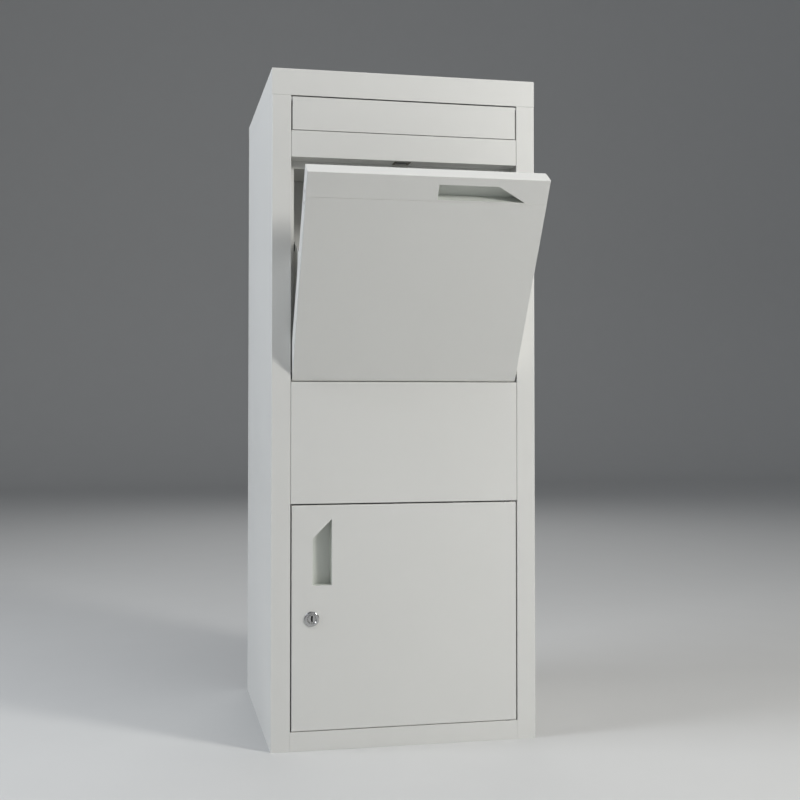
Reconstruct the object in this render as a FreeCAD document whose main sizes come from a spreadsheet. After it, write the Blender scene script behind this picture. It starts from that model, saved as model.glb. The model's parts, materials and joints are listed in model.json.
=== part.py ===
"""Free-standing parcel drop box of folded sheet steel.

The cabinet stands on the floor. From the top down its front holds a push-in letter flap, a
fixed strip, a tilting parcel drawer with a hopper behind it, a fixed panel and a locked
collection door. Millimetres, +Z up, +X to the right, the front faces -Y, and the origin is
at the centre of the base on the floor.
"""
import FreeCAD, Part
import Sketcher
import math
import os
import re

DIMENSIONS = [
    ("body_width", 410, "cabinet body, left to right"),
    ("body_depth", 410, "cabinet body, front to back"),
    ("total_height", 1020, "floor to the top of the roof cap"),
    ("sheet_thick", 1.2, "steel sheet of the cabinet, drawer and door"),
    ("stile_width", 29, "width of each front stile beside the openings"),
    ("return_depth", 32, "depth of the stile's return, from the front to the stop lip"),
    ("stop_lip", 8, "width of the stop lip behind the openings"),
    ("rear_flange", 14, "flange that the back panel is riveted to"),
    ("seam_gap", 0.4, "hairline gap between fixed front pieces"),
    ("rail_top", 28.5, "top of the bottom rail"),
    ("panel_low", 366.5, "lower edge of the fixed middle panel"),
    ("panel_high", 549, "upper edge of the fixed middle panel"),
    ("strip_low", 887, "lower edge of the fixed strip above the drawer"),
    ("strip_high", 927, "upper edge of that strip"),
    ("strip_lip", 12, "drop of the stop lip under the strip"),
    ("cap_low", 980, "lower edge of the roof cap's front"),
    ("cap_rear", 999, "lower edge of the roof cap's rear, its sides taper to it"),
    ("cap_return", 20, "return flange inside the roof cap's front"),
    ("cap_seam", 0.2, "hairline between the roof cap and the side panels"),
    ("cap_lap", 3, "how far below the cap the side panels' joggle starts"),
    ("cap_screw_rise", 10, "cap screws above the cap's rear edge"),
    ("cap_screw_length", 7, "shank of a cap screw"),
    ("cap_screw_head", 3.8, "radius of a cap screw's head"),
    ("cap_screw_head_depth", 2.2, "depth of a cap screw's head"),
    ("cap_screw_socket", 1.5, "radius of the socket in that head"),
    ("short_flange", 14, "shallow top flange of the strip and the middle panel"),
    ("side_gap", 2, "running gap each side of the drawer, the door and the flap"),
    ("free_gap", 0.3, "clearance between pieces that pass each other"),
    ("close_gap", 0.2, "clearance of a piece let into a cut-out"),
    ("fit_gap", 0.1, "clearance of pieces that lie together"),
    ("overrun", 1, "how far a cutting outline runs past the sheet that it cuts"),
    ("lip_trim", 1.8, "shortening of the strip's drop lip at each end"),
    ("corner_round", 1.5, "bend at the cabinet's upright corners"),
    ("stile_round", 0.7, "bend at the stiles' inner edges"),
    ("panel_round", 0.8, "front edges of the middle panel and the strip"),
    ("cap_round", 1.1, "upper edges of the roof cap"),
    ("flap_round", 0.6, "front edges of the letter flap"),
    ("pan_round", 1, "front edges of the drawer and the door"),
    ("rivet_radius", 2, "blind rivets of the back panel"),
    ("rivet_tail", 1.5, "rivet behind the sheets"),
    ("rivet_head", 4, "radius of a rivet's head"),
    ("rivet_head_depth", 0.9, "height of a rivet's head"),
    ("rivet_low", 60, "lowest back rivets above the floor"),
    ("rivet_pitch", 175, "back rivets, one to the next"),
    ("pan_flange", 20, "flanges of the floor plate above the sheet"),
    ("pan_flange_start", 40, "front end of the floor plate's side flanges"),
    ("drawer_low", 552, "lower edge of the closed drawer"),
    ("drawer_seam", 848, "seam between the drawer's front and its handle strip"),
    ("drawer_split", 0.1, "hairline between the two pieces of the drawer's front"),
    ("seam_step", 0.6, "how far the handle strip's face lies behind the pan's face"),
    ("drawer_high", 885.5, "upper edge of the closed drawer"),
    ("drawer_depth", 28, "depth of the drawer's front pan"),
    ("drawer_tilt", 32, "angle of the open drawer, degrees"),
    ("pivot_back", 6, "drawer and door pivots, behind the front face"),
    ("pivot_rise", 6, "drawer pivot above the drawer's lower edge"),
    ("pivot_radius", 3, "drawer and door pivot pins"),
    ("pivot_running", 0.06, "running clearance of the pins in their bushes"),
    ("pin_reach", 5, "drawer pin inside the drawer's flange"),
    ("pin_head_out", 1.6, "head of a pivot pin beyond its shank"),
    ("pin_head_depth", 3, "head of a drawer pin"),
    ("hinge_head_depth", 2.5, "head of a door pin"),
    ("bush_wall", 1.5, "wall of the pivot bushes"),
    ("bush_length", 2.4, "sleeve of a drawer bush"),
    ("collar_out", 2.4, "collar of a bush beyond the pin"),
    ("cheek_inset", 10, "drawer cheeks, in from the opening's edge"),
    ("cheek_front", 177, "top of a cheek at the front, above the pivot"),
    ("cheek_rear", 145, "top of a cheek at the rear, above the pivot"),
    ("cheek_radius", 213, "outer radius of the cheeks about the pivot"),
    ("cheek_flange", 15, "front flange of a cheek"),
    ("cheek_flange_rise", 3, "lower end of that flange above the drawer's lower flange"),
    ("cheek_flange_drop", 6, "upper end of that flange below the cheek's top"),
    ("tray_slope", 22.8, "fall of the hopper tray with the drawer closed, degrees"),
    ("tray_start", 22.5, "tray bend, behind the pivot"),
    ("tray_length", 192.6, "length of the sloping tray"),
    ("ear_low", 190, "lower end of a cheek's stop ear, above the pivot, drawer open"),
    ("ear_high", 203, "upper end of the stop ear"),
    ("ear_reach", 7, "how far the stop ear stands out of the cheek"),
    ("ear_buffer", 2.9, "rubber buffer on the stop ear"),
    ("ear_margin", 0.5, "bare rim of the ear round its buffer"),
    ("seam_flange", 13, "depth of the flanges at the drawer's seam"),
    ("flange_room", 10, "height cleared behind those flanges"),
    ("tab_front", 3, "tabs over the drawer's seam, behind the front face"),
    ("tab_rear", 22, "rear edge of those tabs"),
    ("tab_low", 20, "lower end of the tabs, below the seam"),
    ("tab_high", 16, "upper end of the tabs, above the seam"),
    ("tab_room", 3, "notch for the tabs in the handle strip, above the seam"),
    ("tab_rivet", 1.6, "rivets through the tabs"),
    ("tab_rivet_tail", 1, "those rivets behind the sheets"),
    ("tab_rivet_head", 3.2, "radius of their heads"),
    ("tab_rivet_y", 10, "those rivets behind the front face"),
    ("tab_rivet_below", 12, "lower rivets below the seam"),
    ("tab_rivet_above", 6, "upper rivets above the seam"),
    ("grip_depth", 20, "depth of both hand recesses behind their sheet"),
    ("grip_wall", 1, "wall of the hand recesses"),
    ("grip_room", 6, "notch in the seam flange past the recess's slanted end"),
    ("drawer_grip_x", 12.6, "square end of the drawer's hand recess"),
    ("drawer_grip_low", 850, "lower edge of the drawer's hand recess"),
    ("drawer_grip_high", 873, "upper edge"),
    ("drawer_grip_short", 87, "length of its upper edge"),
    ("drawer_grip_long", 128, "length of its lower edge"),
    ("door_low", 29.5, "lower edge of the door"),
    ("door_high", 364.2, "upper edge of the door"),
    ("door_depth", 24, "depth of the door pan"),
    ("door_pivot_in", 12, "door pivot, in from the door's right edge"),
    ("door_grip_x", -142.7, "outer side of the door's hand recess"),
    ("door_grip_width", 29.1, "width of the door's hand recess"),
    ("door_grip_low", 244.4, "lower end of the door's hand recess"),
    ("door_grip_short", 69.5, "height of its outer side"),
    ("door_grip_long", 98.6, "height of its inner side"),
    ("hat_half", 18, "half width of the door stiffener's crown"),
    ("hat_flange", 32, "edge of the stiffener's flanges from its middle"),
    ("hat_rise", 14, "rise of the stiffener's crown"),
    ("hat_end", 10, "stiffener's ends from the door's ends"),
    ("door_buffer_low", 60, "lower door buffer above the floor"),
    ("door_buffer_high", 320, "upper door buffer above the floor"),
    ("door_buffer_inset", 0.6, "door buffers clear of the stile's edge"),
    ("door_buffer_width", 6.8, "width of a door buffer"),
    ("door_buffer_height", 14, "height of a door buffer"),
    ("lock_x", -143.7, "cam lock centre, left to right"),
    ("lock_z", 195.3, "cam lock centre above the floor"),
    ("lock_radius", 9.5, "lock barrel"),
    ("bezel_radius", 11.2, "lock bezel"),
    ("bezel_depth", 2.6, "lock bezel in front of the door"),
    ("bezel_round", 1.4, "front edge of the bezel"),
    ("plug_radius", 6.5, "turning plug of the lock"),
    ("lock_length", 31.8, "lock barrel behind the front face"),
    ("cam_reach", 36, "lock axis to the cam's tip"),
    ("cam_width", 16, "width of the lock cam"),
    ("cam_thick", 2, "thickness of the lock cam"),
    ("cam_gap", 2.2, "cam behind the barrel's end"),
    ("cam_tip", 5, "half width of the cam's tip"),
    ("cam_shoulder", 12, "where the cam's taper starts, from the axis"),
    ("cam_heel", 9, "end of the cam above the axis"),
    ("plug_set", 0.4, "plug behind the face of the bezel"),
    ("key_half_width", 0.9, "half width of the key slot"),
    ("key_half_height", 4.2, "half height of the key slot"),
    ("key_depth", 14, "key slot behind the face of the bezel"),
    ("tail_half", 4, "half width of the plug's square tail"),
    ("tail_length", 3.8, "length of that tail"),
    ("nut_radius", 13.2, "lock nut across its corners, from the axis"),
    ("nut_thick", 5, "thickness of the lock nut"),
    ("bolt_head", 6.2, "radius of the cam bolt's head"),
    ("bolt_depth", 3.5, "height of the cam bolt's head"),
    ("bolt_socket", 2.4, "radius of the bolt's socket"),
    ("bolt_floor", 1, "bolt under its socket"),
    ("flap_low", 928, "lower edge of the letter flap"),
    ("flap_high", 978, "upper edge of the letter flap"),
    ("flap_axis_y", -200, "letter flap hinge axis, front to back"),
    ("flap_axis_z", 973, "letter flap hinge axis above the floor"),
    ("flap_rod", 2.5, "radius of the flap's hinge rod"),
    ("flap_tube", 3.7, "outer radius of the flap's hinge tube"),
    ("flap_running", 0.08, "running clearance of the flap's tube on its rod"),
    ("flap_flange", 8, "depth of the flap's stiffening flanges"),
    ("flap_flange_drop", 8, "upper end of the flap's side flanges below its axis"),
    ("tube_inset", 2, "ends of the hinge tube from the flap's ends"),
    ("web_half", 2, "half thickness of the web between tube and flap"),
    ("spring_window", 5, "half height of the window for the spring in the tube"),
    ("spring_room", 2, "window beyond the spring at each end"),
    ("spring_start", 96, "left end of the flap's spring"),
    ("spring_turns", 6.25, "turns of the flap's spring"),
    ("spring_pitch", 1.4, "pitch of the flap's spring"),
    ("spring_radius", 3.2, "middle radius of the flap's spring"),
    ("spring_wire", 0.4, "radius of the spring's wire"),
    ("rod_end", 2.5, "hinge rod beyond the side panels' returns"),
    ("rod_cap_length", 3.5, "push-on caps of the hinge rod"),
    ("rod_cap_radius", 3.6, "radius of those caps"),
    ("lug_reach", 3.6, "lugs behind the flap, in from the opening's edge"),
    ("lug_root", 0.2, "lugs let into the stiles' returns"),
    ("lug_low", 974.5, "lower edge of the lugs"),
    ("lug_high", 977.5, "upper edge of the lugs"),
    ("baffle_y", 30, "front of the baffle behind the drawer"),
    ("baffle_low", 592, "lower edge of that baffle"),
    ("baffle_flange", 14, "rear edge of the baffle's side flanges"),
    ("baffle_flange_end", 30, "upper end of those flanges below the ramp"),
    ("baffle_hem", 10, "rear edge of the baffle's lower hem"),
    ("baffle_hem_in", 20, "ends of that hem from the side panels"),
    ("ramp_rear", 893, "rear end of the letter ramp"),
    ("ramp_flange_front", 30, "front end of the ramp's flanges, behind the stop lip"),
    ("ramp_flange_rear", 6, "rear end of those flanges, before the baffle"),
    ("ramp_flange_high", 26, "their upper front corner above the ramp's rear"),
    ("ramp_flange_low", 4, "their lower front corner above the ramp's rear"),
    ("ramp_flange_drop", 14, "their lower rear corner below the ramp's rear"),
    ("ramp_notch", 60, "height of the ramp's notches round the stiles"),
    ("catch_x", -3, "magnetic catch, left to right"),
    ("catch_width", 26, "cut-out for the magnetic catch"),
    ("catch_front", 6, "front of that cut-out, behind the front face"),
    ("catch_height", 12, "height of the catch's housing"),
    ("catch_ear", 9, "ears of the housing beyond the cut-out"),
    ("catch_ear_thick", 2, "thickness of those ears"),
    ("catch_ear_front", 13, "front of the ears and of the magnet"),
    ("catch_ear_rear", 27, "rear of the ears"),
    ("catch_screw_out", 4.5, "catch screws beyond the cut-out"),
    ("catch_screw_y", 20, "catch screws behind the front face"),
    ("catch_screw", 1.5, "radius of the catch screws"),
    ("catch_screw_length", 3, "shank of a catch screw"),
    ("catch_screw_head", 2.8, "radius of a catch screw's head"),
    ("catch_screw_head_depth", 1.8, "height of that head"),
    ("pole_half", 9, "half length of the magnet and its pole plates"),
    ("pole_front", 10, "front pole plate behind the front face"),
    ("pole_rear", 26, "rear pole plate behind the front face"),
    ("pole_thick", 3, "thickness of a pole plate"),
    ("pole_height", 8, "height of a pole plate"),
    ("magnet_rise", 0.6, "magnet above the edges of the pole plates"),
    ("anchor_spacing", 300, "floor anchor holes, both ways"),
    ("anchor_radius", 5, "floor anchor holes"),
    ("wall_spacing_x", 240, "wall fixing holes, across"),
    ("wall_spacing_z", 600, "wall fixing holes, up"),
    ("wall_low", 200, "lower wall fixing holes above the floor"),
    ("wall_radius", 4, "wall fixing holes"),
]

doc = FreeCAD.newDocument("parcel_drop_box")
sheet = doc.addObject("Spreadsheet::Sheet", "Dimensions")
for row, (alias, amount, meaning) in enumerate(DIMENSIONS, 1):
    sheet.set("A%d" % row, alias)
    sheet.set("B%d" % row, str(amount))
    sheet.set("C%d" % row, meaning)
    sheet.setAlias("B%d" % row, alias)
doc.recompute()

ALIASES = {alias for alias, amount, meaning in DIMENSIONS}
SUBPARTS = []

# Places that several pieces share, as expressions on the sheet.
HALF = "body_width / 2"
OPEN_X = "(body_width / 2 - stile_width)"
FIXED_X = "(body_width / 2 - stile_width - seam_gap)"
MOVING_X = "(body_width / 2 - stile_width - side_gap)"
INNER_X = "(body_width / 2 - sheet_thick)"
LIP_X = "(body_width / 2 - stile_width - stop_lip)"
CHEEK_X = "(body_width / 2 - stile_width - cheek_inset)"
FRONT = "(-body_depth / 2)"
BEHIND = "(-body_depth / 2 + sheet_thick)"
REAR = "(body_depth / 2)"
STOP_Y = "(-body_depth / 2 + return_depth)"
ROOF = "(total_height - sheet_thick)"
PIVOT_Y = "(-body_depth / 2 + pivot_back)"
PIVOT_Z = "(drawer_low + pivot_rise)"
DOOR_PIVOT_X = "(body_width / 2 - stile_width - side_gap - door_pivot_in)"
RIVET_X = "(body_width / 2 - rear_flange / 2)"
CAP_SCREW_Z = "(cap_rear + cap_screw_rise)"
CATCH_LEFT = "(catch_x - catch_width / 2)"
CATCH_RIGHT = "(catch_x + catch_width / 2)"
CATCH_SCREW_X = (CATCH_LEFT + " - catch_screw_out", CATCH_RIGHT + " + catch_screw_out")
CATCH_SCREW_Y = "(-body_depth / 2 + catch_screw_y)"
STRIP_FRONT = "(-body_depth / 2 + seam_step)"
STRIP_BEHIND = "(-body_depth / 2 + seam_step + sheet_thick)"
TAB_RIVET_Y = "(-body_depth / 2 + tab_rivet_y)"
TAB_RIVET_LOW = "(drawer_seam - tab_rivet_below)"
TAB_RIVET_HIGH = "(drawer_seam + tab_rivet_above)"
TRAY_FLAT = "(drawer_low + sheet_thick)"
TRAY_END_Y = "(-body_depth / 2 + pivot_back + tray_start + tray_length * cos(tray_slope))"
TRAY_END_Z = "(drawer_low + sheet_thick - tray_length * sin(tray_slope))"
STOP_BACK = "(return_depth + sheet_thick - pivot_back)"
LOCK_FRONT = "(-body_depth / 2 - bezel_depth)"
LOCK_END = "(-body_depth / 2 + lock_length)"

BACK_RIVET_ROWS = 6
BACK_RIVET_HEIGHTS = ["rivet_low + %d * rivet_pitch" % row for row in range(BACK_RIVET_ROWS)]
BORE_OVERRUN = "(5 * overrun)"
NEAR = 0.01         # two places closer than this are the same


# ---------------------------------------------------------------- helpers

def linked(expression):
    """The expression with every alias turned into a reference to its cell."""
    def replace(match):
        word = match.group(0)
        return "Dimensions." + word if word in ALIASES else word
    return re.sub(r"[a-z][a-z_]*", replace, str(expression))


def bind(item, prop, expression):
    item.setExpression(prop, linked(expression))


def size(alias):
    return float(getattr(sheet, alias))


def neg(expression):
    return "-(%s)" % expression


def plus(first, second):
    return "(%s) + (%s)" % (first, second)


def minus(first, second):
    return "(%s) - (%s)" % (first, second)


def box_outline(low_u, low_v, high_u, high_v):
    return [(low_u, low_v), (high_u, low_v), (high_u, high_v), (low_u, high_v)]


def pin_point(sketch, geometry, point, place):
    """Hold one point of the sketch at a place given by two expressions."""
    for kind, expression in zip(("DistanceX", "DistanceY"), place):
        index = sketch.addConstraint(Sketcher.Constraint(kind, -1, 1, geometry, point, 1.0))
        bind(sketch, "Constraints[%d]" % index, expression)


def add_outline(sketch, outline):
    first = sketch.GeometryCount
    count = len(outline)
    corners = []
    for i in range(count):
        turn = 2 * math.pi * i / count
        corners.append(FreeCAD.Vector(100 * math.cos(turn), 100 * math.sin(turn), 0))
    for i in range(count):
        sketch.addGeometry(Part.LineSegment(corners[i], corners[(i + 1) % count]), False)
    for i in range(count):
        sketch.addConstraint(
            Sketcher.Constraint("Coincident", first + i, 2, first + (i + 1) % count, 1))
    for i, place in enumerate(outline):
        pin_point(sketch, first + i, 1, place)


def add_circle(sketch, centre_u, centre_v, radius):
    geometry = sketch.GeometryCount
    circle = Part.Circle(FreeCAD.Vector(10, 10, 0), FreeCAD.Vector(0, 0, 1), 5)
    sketch.addGeometry(circle, False)
    pin_point(sketch, geometry, 3, (centre_u, centre_v))
    index = sketch.addConstraint(Sketcher.Constraint("Radius", geometry, 5))
    bind(sketch, "Constraints[%d]" % index, radius)


def sketch_on(body, plane, start, outlines, circles):
    """A sketch on one of the body's origin planes, moved to start along the third axis."""
    sketch = body.newObject("Sketcher::SketchObject", body.Name + "_sketch")
    origin_plane = [f for f in body.Origin.OriginFeatures if f.Role == plane + "_Plane"][0]
    sketch.AttachmentSupport = [(origin_plane, "")]
    sketch.MapMode = "FlatFace"
    bind(sketch, "AttachmentOffset.Base.z", neg(start) if plane == "XZ" else start)
    for outline in outlines:
        add_outline(sketch, outline)
    for circle in circles:
        add_circle(sketch, *circle)
    return sketch


def new_body(name):
    body = doc.addObject("PartDesign::Body", name)
    body.Label = name
    return body


def pad(body, plane, start, length, outlines=(), circles=()):
    """Add material from start, over length, along the plane's third axis."""
    sketch = sketch_on(body, plane, start, outlines, circles)
    feature = body.newObject("PartDesign::Pad", body.Name + "_pad")
    feature.Profile = sketch
    feature.Reversed = plane == "XZ"
    bind(feature, "Length", length)
    doc.recompute()
    return feature


def cut(body, plane, start, length, outlines=(), circles=()):
    """Take material away from start, over length, and make sure some went."""
    before = body.Shape.Volume
    sketch = sketch_on(body, plane, start, outlines, circles)
    feature = body.newObject("PartDesign::Pocket", body.Name + "_cut")
    feature.Profile = sketch
    feature.Reversed = plane != "XZ"
    bind(feature, "Length", length)
    doc.recompute()
    if body.Shape.Volume > before - NEAR:
        raise RuntimeError("a cut in %s removed nothing" % body.Label)
    return feature


def round_edges(body, radius, wanted):
    """Fillet the edges of the body that wanted(edge) picks."""
    names = ["Edge%d" % (i + 1) for i, edge in enumerate(body.Shape.Edges) if wanted(edge)]
    if not names:
        raise RuntimeError("no edge to round in %s" % body.Label)
    rounded = body.Tip
    feature = body.newObject("PartDesign::Fillet", body.Name + "_fillet")
    feature.Base = (rounded, names)
    bind(feature, "Radius", radius)
    doc.recompute()


def front_rim(body):
    """Picks the outer edges of the body's front face."""
    bounds = body.Shape.BoundBox

    def wanted(edge):
        box = edge.BoundBox
        on_front = box.YMax < bounds.YMin + NEAR
        at_side = box.XMax < bounds.XMin + NEAR or box.XMin > bounds.XMax - NEAR
        at_end = box.ZMax < bounds.ZMin + NEAR or box.ZMin > bounds.ZMax - NEAR
        return on_front and (at_side or at_end)
    return wanted


def upright_edges_at(*places):
    """Picks the upright edges that stand at the given x and y."""
    def wanted(edge):
        box = edge.BoundBox
        if box.ZLength < NEAR or box.XLength > NEAR or box.YLength > NEAR:
            return False
        for x, y in places:
            if abs(box.XMin - x) < 2 * NEAR and abs(box.YMin - y) < 2 * NEAR:
                return True
        return False
    return wanted


def cylinder(axis, base, length, radius):
    """A cylinder from base along +X, +Y or +Z."""
    rod = doc.addObject("Part::Cylinder", "rod")
    turns = {"X": FreeCAD.Rotation(FreeCAD.Vector(0, 1, 0), 90),
             "Y": FreeCAD.Rotation(FreeCAD.Vector(1, 0, 0), -90),
             "Z": FreeCAD.Rotation()}
    rod.Placement = FreeCAD.Placement(FreeCAD.Vector(), turns[axis])
    for letter, expression in zip("xyz", base):
        bind(rod, "Placement.Base." + letter, expression)
    bind(rod, "Height", length)
    bind(rod, "Radius", radius)
    return rod


def block(base, lengths):
    item = doc.addObject("Part::Box", "block")
    for letter, expression in zip("xyz", base):
        bind(item, "Placement.Base." + letter, expression)
    for prop, expression in zip(("Length", "Width", "Height"), lengths):
        bind(item, prop, expression)
    return item


def joined(*items):
    fusion = doc.addObject("Part::MultiFuse", "joined")
    fusion.Shapes = list(items)
    fusion.Refine = True
    return fusion


def bored(outer, inner):
    hollow = doc.addObject("Part::Cut", "bored")
    hollow.Base = outer
    hollow.Tool = inner
    return hollow


def group(name, items):
    """Identical separate solids as one node."""
    compound = doc.addObject("Part::Compound", name)
    compound.Links = list(items)
    compound.Label = name
    return compound


def named(name, item):
    item.Label = name
    return item


def keep(item, on_drawer=False):
    """List a finished sub-part; pieces of the drawer are drawn closed and tilted here."""
    if on_drawer:
        bind(item, "Placement",
             "create(<<placement>>; create(<<vector>>; 0; 0; 0);"
             " create(<<rotation>>; create(<<vector>>; 1; 0; 0); drawer_tilt);"
             " create(<<vector>>; 0; %s; %s))" % (PIVOT_Y, PIVOT_Z))
    SUBPARTS.append(item)
    return item


def on_side(side, expression):
    """The expression on the left (-1) or on the right (+1)."""
    return "%d * (%s)" % (side, expression)


def span(side, inner, outer):
    """Low and high x of a stretch that lies from inner to outer on that side."""
    return (inner, outer) if side > 0 else (neg(outer), neg(inner))


SIDES = (("left", -1), ("right", 1))


# ---------------------------------------------------------------- cabinet

def joggle_top(body, side):
    """Step the upper edges inwards by one sheet, so that the roof cap lies flush."""
    front_top = "(cap_low - cap_seam)"
    rear_top = "(cap_rear - cap_seam)"
    skin = span(side, INNER_X, HALF)
    cut(body, "YZ", skin[0], "sheet_thick",
        [[(FRONT, front_top), (REAR, rear_top), (REAR, "total_height"), (FRONT, "total_height")]])
    edges = span(side, OPEN_X, HALF)
    cut(body, "XY", front_top, minus("total_height", front_top),
        [box_outline(edges[0], FRONT, edges[1], BEHIND)])
    edges = span(side, minus(HALF, "rear_flange"), HALF)
    cut(body, "XY", rear_top, minus("total_height", rear_top),
        [box_outline(edges[0], minus(REAR, "sheet_thick"), edges[1], REAR)])
    lap = span(side, minus(INNER_X, "sheet_thick"), INNER_X)
    lap_front = plus(BEHIND, "sheet_thick")
    lap_rear = minus(REAR, "2 * sheet_thick + fit_gap")
    pad(body, "YZ", lap[0], "sheet_thick",
        [[(lap_front, "cap_low - cap_lap"), (lap_rear, "cap_rear - cap_lap"), (lap_rear, ROOF),
          (lap_front, ROOF)]])
    edges = span(side, plus(OPEN_X, "sheet_thick"), INNER_X)
    pad(body, "XY", "cap_low - cap_lap", minus(ROOF, "cap_low - cap_lap"),
        [box_outline(edges[0], BEHIND, edges[1], lap_front)])


def side_panel(name, side):
    """Side, front stile, return, stop lip and rear flange, folded from one sheet."""
    body = new_body(name)
    path = [(HALF, FRONT), (OPEN_X, FRONT), (OPEN_X, STOP_Y), (LIP_X, STOP_Y),
            (LIP_X, plus(STOP_Y, "sheet_thick")),
            (plus(OPEN_X, "sheet_thick"), plus(STOP_Y, "sheet_thick")),
            (plus(OPEN_X, "sheet_thick"), BEHIND), (INNER_X, BEHIND),
            (INNER_X, minus(REAR, "sheet_thick")),
            (minus(HALF, "rear_flange"), minus(REAR, "sheet_thick")),
            (minus(HALF, "rear_flange"), REAR), (HALF, REAR)]
    pad(body, "XY", "0", ROOF, [[(on_side(side, x), y) for x, y in path]])
    half_width = side * size("body_width") / 2
    stile_edge = half_width - side * size("stile_width")
    front = -size("body_depth") / 2
    round_edges(body, "corner_round", upright_edges_at((half_width, front), (half_width, -front)))
    round_edges(body, "stile_round", upright_edges_at((stile_edge, front)))
    # The stop lip only runs beside the door and the drawer.
    edges = span(side, LIP_X, OPEN_X)
    lip = box_outline(edges[0], STOP_Y, edges[1], plus(STOP_Y, "sheet_thick"))
    cut(body, "XY", minus("strip_low", "strip_lip"), "total_height", [lip])
    cut(body, "XY", "0", "rail_top", [lip])
    joggle_top(body, side)
    # Lug behind the closed letter flap, which keeps it from swinging outwards.
    edges = span(side, minus(OPEN_X, "lug_reach"), plus(OPEN_X, "lug_root"))
    pad(body, "XZ", plus(BEHIND, "free_gap"), "sheet_thick",
        [box_outline(edges[0], "lug_low", edges[1], "lug_high")])
    pivot = (PIVOT_Y, PIVOT_Z, "pivot_radius")
    rod = ("flap_axis_y", "flap_axis_z", "flap_rod")
    stile_return = span(side, OPEN_X, plus(OPEN_X, "sheet_thick"))
    cut(body, "YZ", stile_return[0], "sheet_thick", circles=[pivot, rod])
    places = [(on_side(side, RIVET_X), z, "rivet_radius") for z in BACK_RIVET_HEIGHTS]
    cut(body, "XZ", minus(REAR, "sheet_thick"), "sheet_thick", circles=places)
    return keep(body)


def back_panel():
    body = new_body("back_panel")
    pad(body, "XZ", minus(REAR, "2 * sheet_thick"), "sheet_thick",
        [box_outline(neg(INNER_X), "sheet_thick", INNER_X, ROOF)])
    holes = []
    for side in (-1, 1):
        for z in ("wall_low", "wall_low + wall_spacing_z"):
            holes.append((on_side(side, "wall_spacing_x / 2"), z, "wall_radius"))
        for z in BACK_RIVET_HEIGHTS + [CAP_SCREW_Z]:
            holes.append((on_side(side, RIVET_X), z, "rivet_radius"))
    cut(body, "XZ", minus(REAR, "2 * sheet_thick"), "sheet_thick", circles=holes)
    return keep(body)


def back_rivets():
    """Blind rivets through the rear flanges and the back panel."""
    rivets = []
    for side in (-1, 1):
        for z in BACK_RIVET_HEIGHTS:
            x = on_side(side, RIVET_X)
            length = "2 * sheet_thick + rivet_tail"
            shank = cylinder("Y", (x, minus(REAR, length), z), length, "rivet_radius")
            head = cylinder("Y", (x, REAR, z), "rivet_head_depth", "rivet_head")
            rivets.append(joined(shank, head))
    return keep(group("back_panel_rivets", rivets))


def floor_pan():
    """Floor plate with three upright flanges and the floor anchor holes."""
    body = new_body("floor_pan")
    rear = minus(REAR, "2 * sheet_thick")
    pad(body, "XY", "0", "sheet_thick", [box_outline(neg(INNER_X), BEHIND, INNER_X, rear)])
    for side in (-1, 1):
        edges = span(side, minus(INNER_X, "sheet_thick"), INNER_X)
        pad(body, "XY", "sheet_thick", "pan_flange",
            [box_outline(edges[0], plus(FRONT, "pan_flange_start"), edges[1], rear)])
    pad(body, "XY", "sheet_thick", "pan_flange",
        [box_outline(neg(INNER_X), minus(rear, "sheet_thick"), INNER_X, rear)])
    # The plate stops short of the stiles' returns.
    for side in (-1, 1):
        edges = span(side, minus(OPEN_X, "free_gap"), HALF)
        cut(body, "XY", "0", "sheet_thick",
            [box_outline(edges[0], FRONT, edges[1], plus(STOP_Y, "sheet_thick + free_gap"))])
    corners = []
    for side_x in (-1, 1):
        for side_y in (-1, 1):
            corners.append((on_side(side_x, "anchor_spacing / 2"),
                            on_side(side_y, "anchor_spacing / 2"), "anchor_radius"))
    cut(body, "XY", "0", "sheet_thick", circles=corners)
    return keep(body)


def trim_lip_ends(body, low, height):
    """Make room for the stop lips of the side panels at both ends of a cross lip."""
    for side in (-1, 1):
        edges = span(side, LIP_X, plus(OPEN_X, "overrun"))
        cut(body, "XY", low, height,
            [box_outline(edges[0], STOP_Y, edges[1], plus(STOP_Y, "2 * sheet_thick"))])


def hinge_bush_hole(body, low):
    """Hole for a door bush in a flange whose underside is at low."""
    cut(body, "XY", low, "sheet_thick",
        circles=[(DOOR_PIVOT_X, PIVOT_Y, "pivot_radius + bush_wall")])


def bottom_rail():
    """Rail under the door, with the door's lower stop lip."""
    body = new_body("bottom_rail")
    back = plus(STOP_Y, "sheet_thick")
    path = [(FRONT, "0"), (BEHIND, "0"), (BEHIND, "rail_top - sheet_thick"),
            (back, "rail_top - sheet_thick"), (back, "rail_top + stop_lip"),
            (STOP_Y, "rail_top + stop_lip"), (STOP_Y, "rail_top"), (FRONT, "rail_top")]
    pad(body, "YZ", neg(OPEN_X), plus(OPEN_X, OPEN_X), [path])
    trim_lip_ends(body, "rail_top", "stop_lip")
    hinge_bush_hole(body, "rail_top - sheet_thick")
    return keep(body)


def middle_panel():
    """Fixed panel between the door and the drawer, with the door's upper stop lip."""
    body = new_body("middle_panel")
    back = plus(STOP_Y, "sheet_thick")
    lip_end = minus("panel_low", "stop_lip")
    shelf = plus(FRONT, "short_flange")
    path = [(FRONT, "panel_low"), (STOP_Y, "panel_low"), (STOP_Y, lip_end), (back, lip_end),
            (back, "panel_low + sheet_thick"), (BEHIND, "panel_low + sheet_thick"),
            (BEHIND, "panel_high - sheet_thick"), (shelf, "panel_high - sheet_thick"),
            (shelf, "panel_high"), (FRONT, "panel_high")]
    pad(body, "YZ", neg(FIXED_X), plus(FIXED_X, FIXED_X), [path])
    trim_lip_ends(body, lip_end, plus("stop_lip", "sheet_thick"))
    hinge_bush_hole(body, "panel_low")
    round_edges(body, "panel_round", front_rim(body))
    return keep(body)


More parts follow.
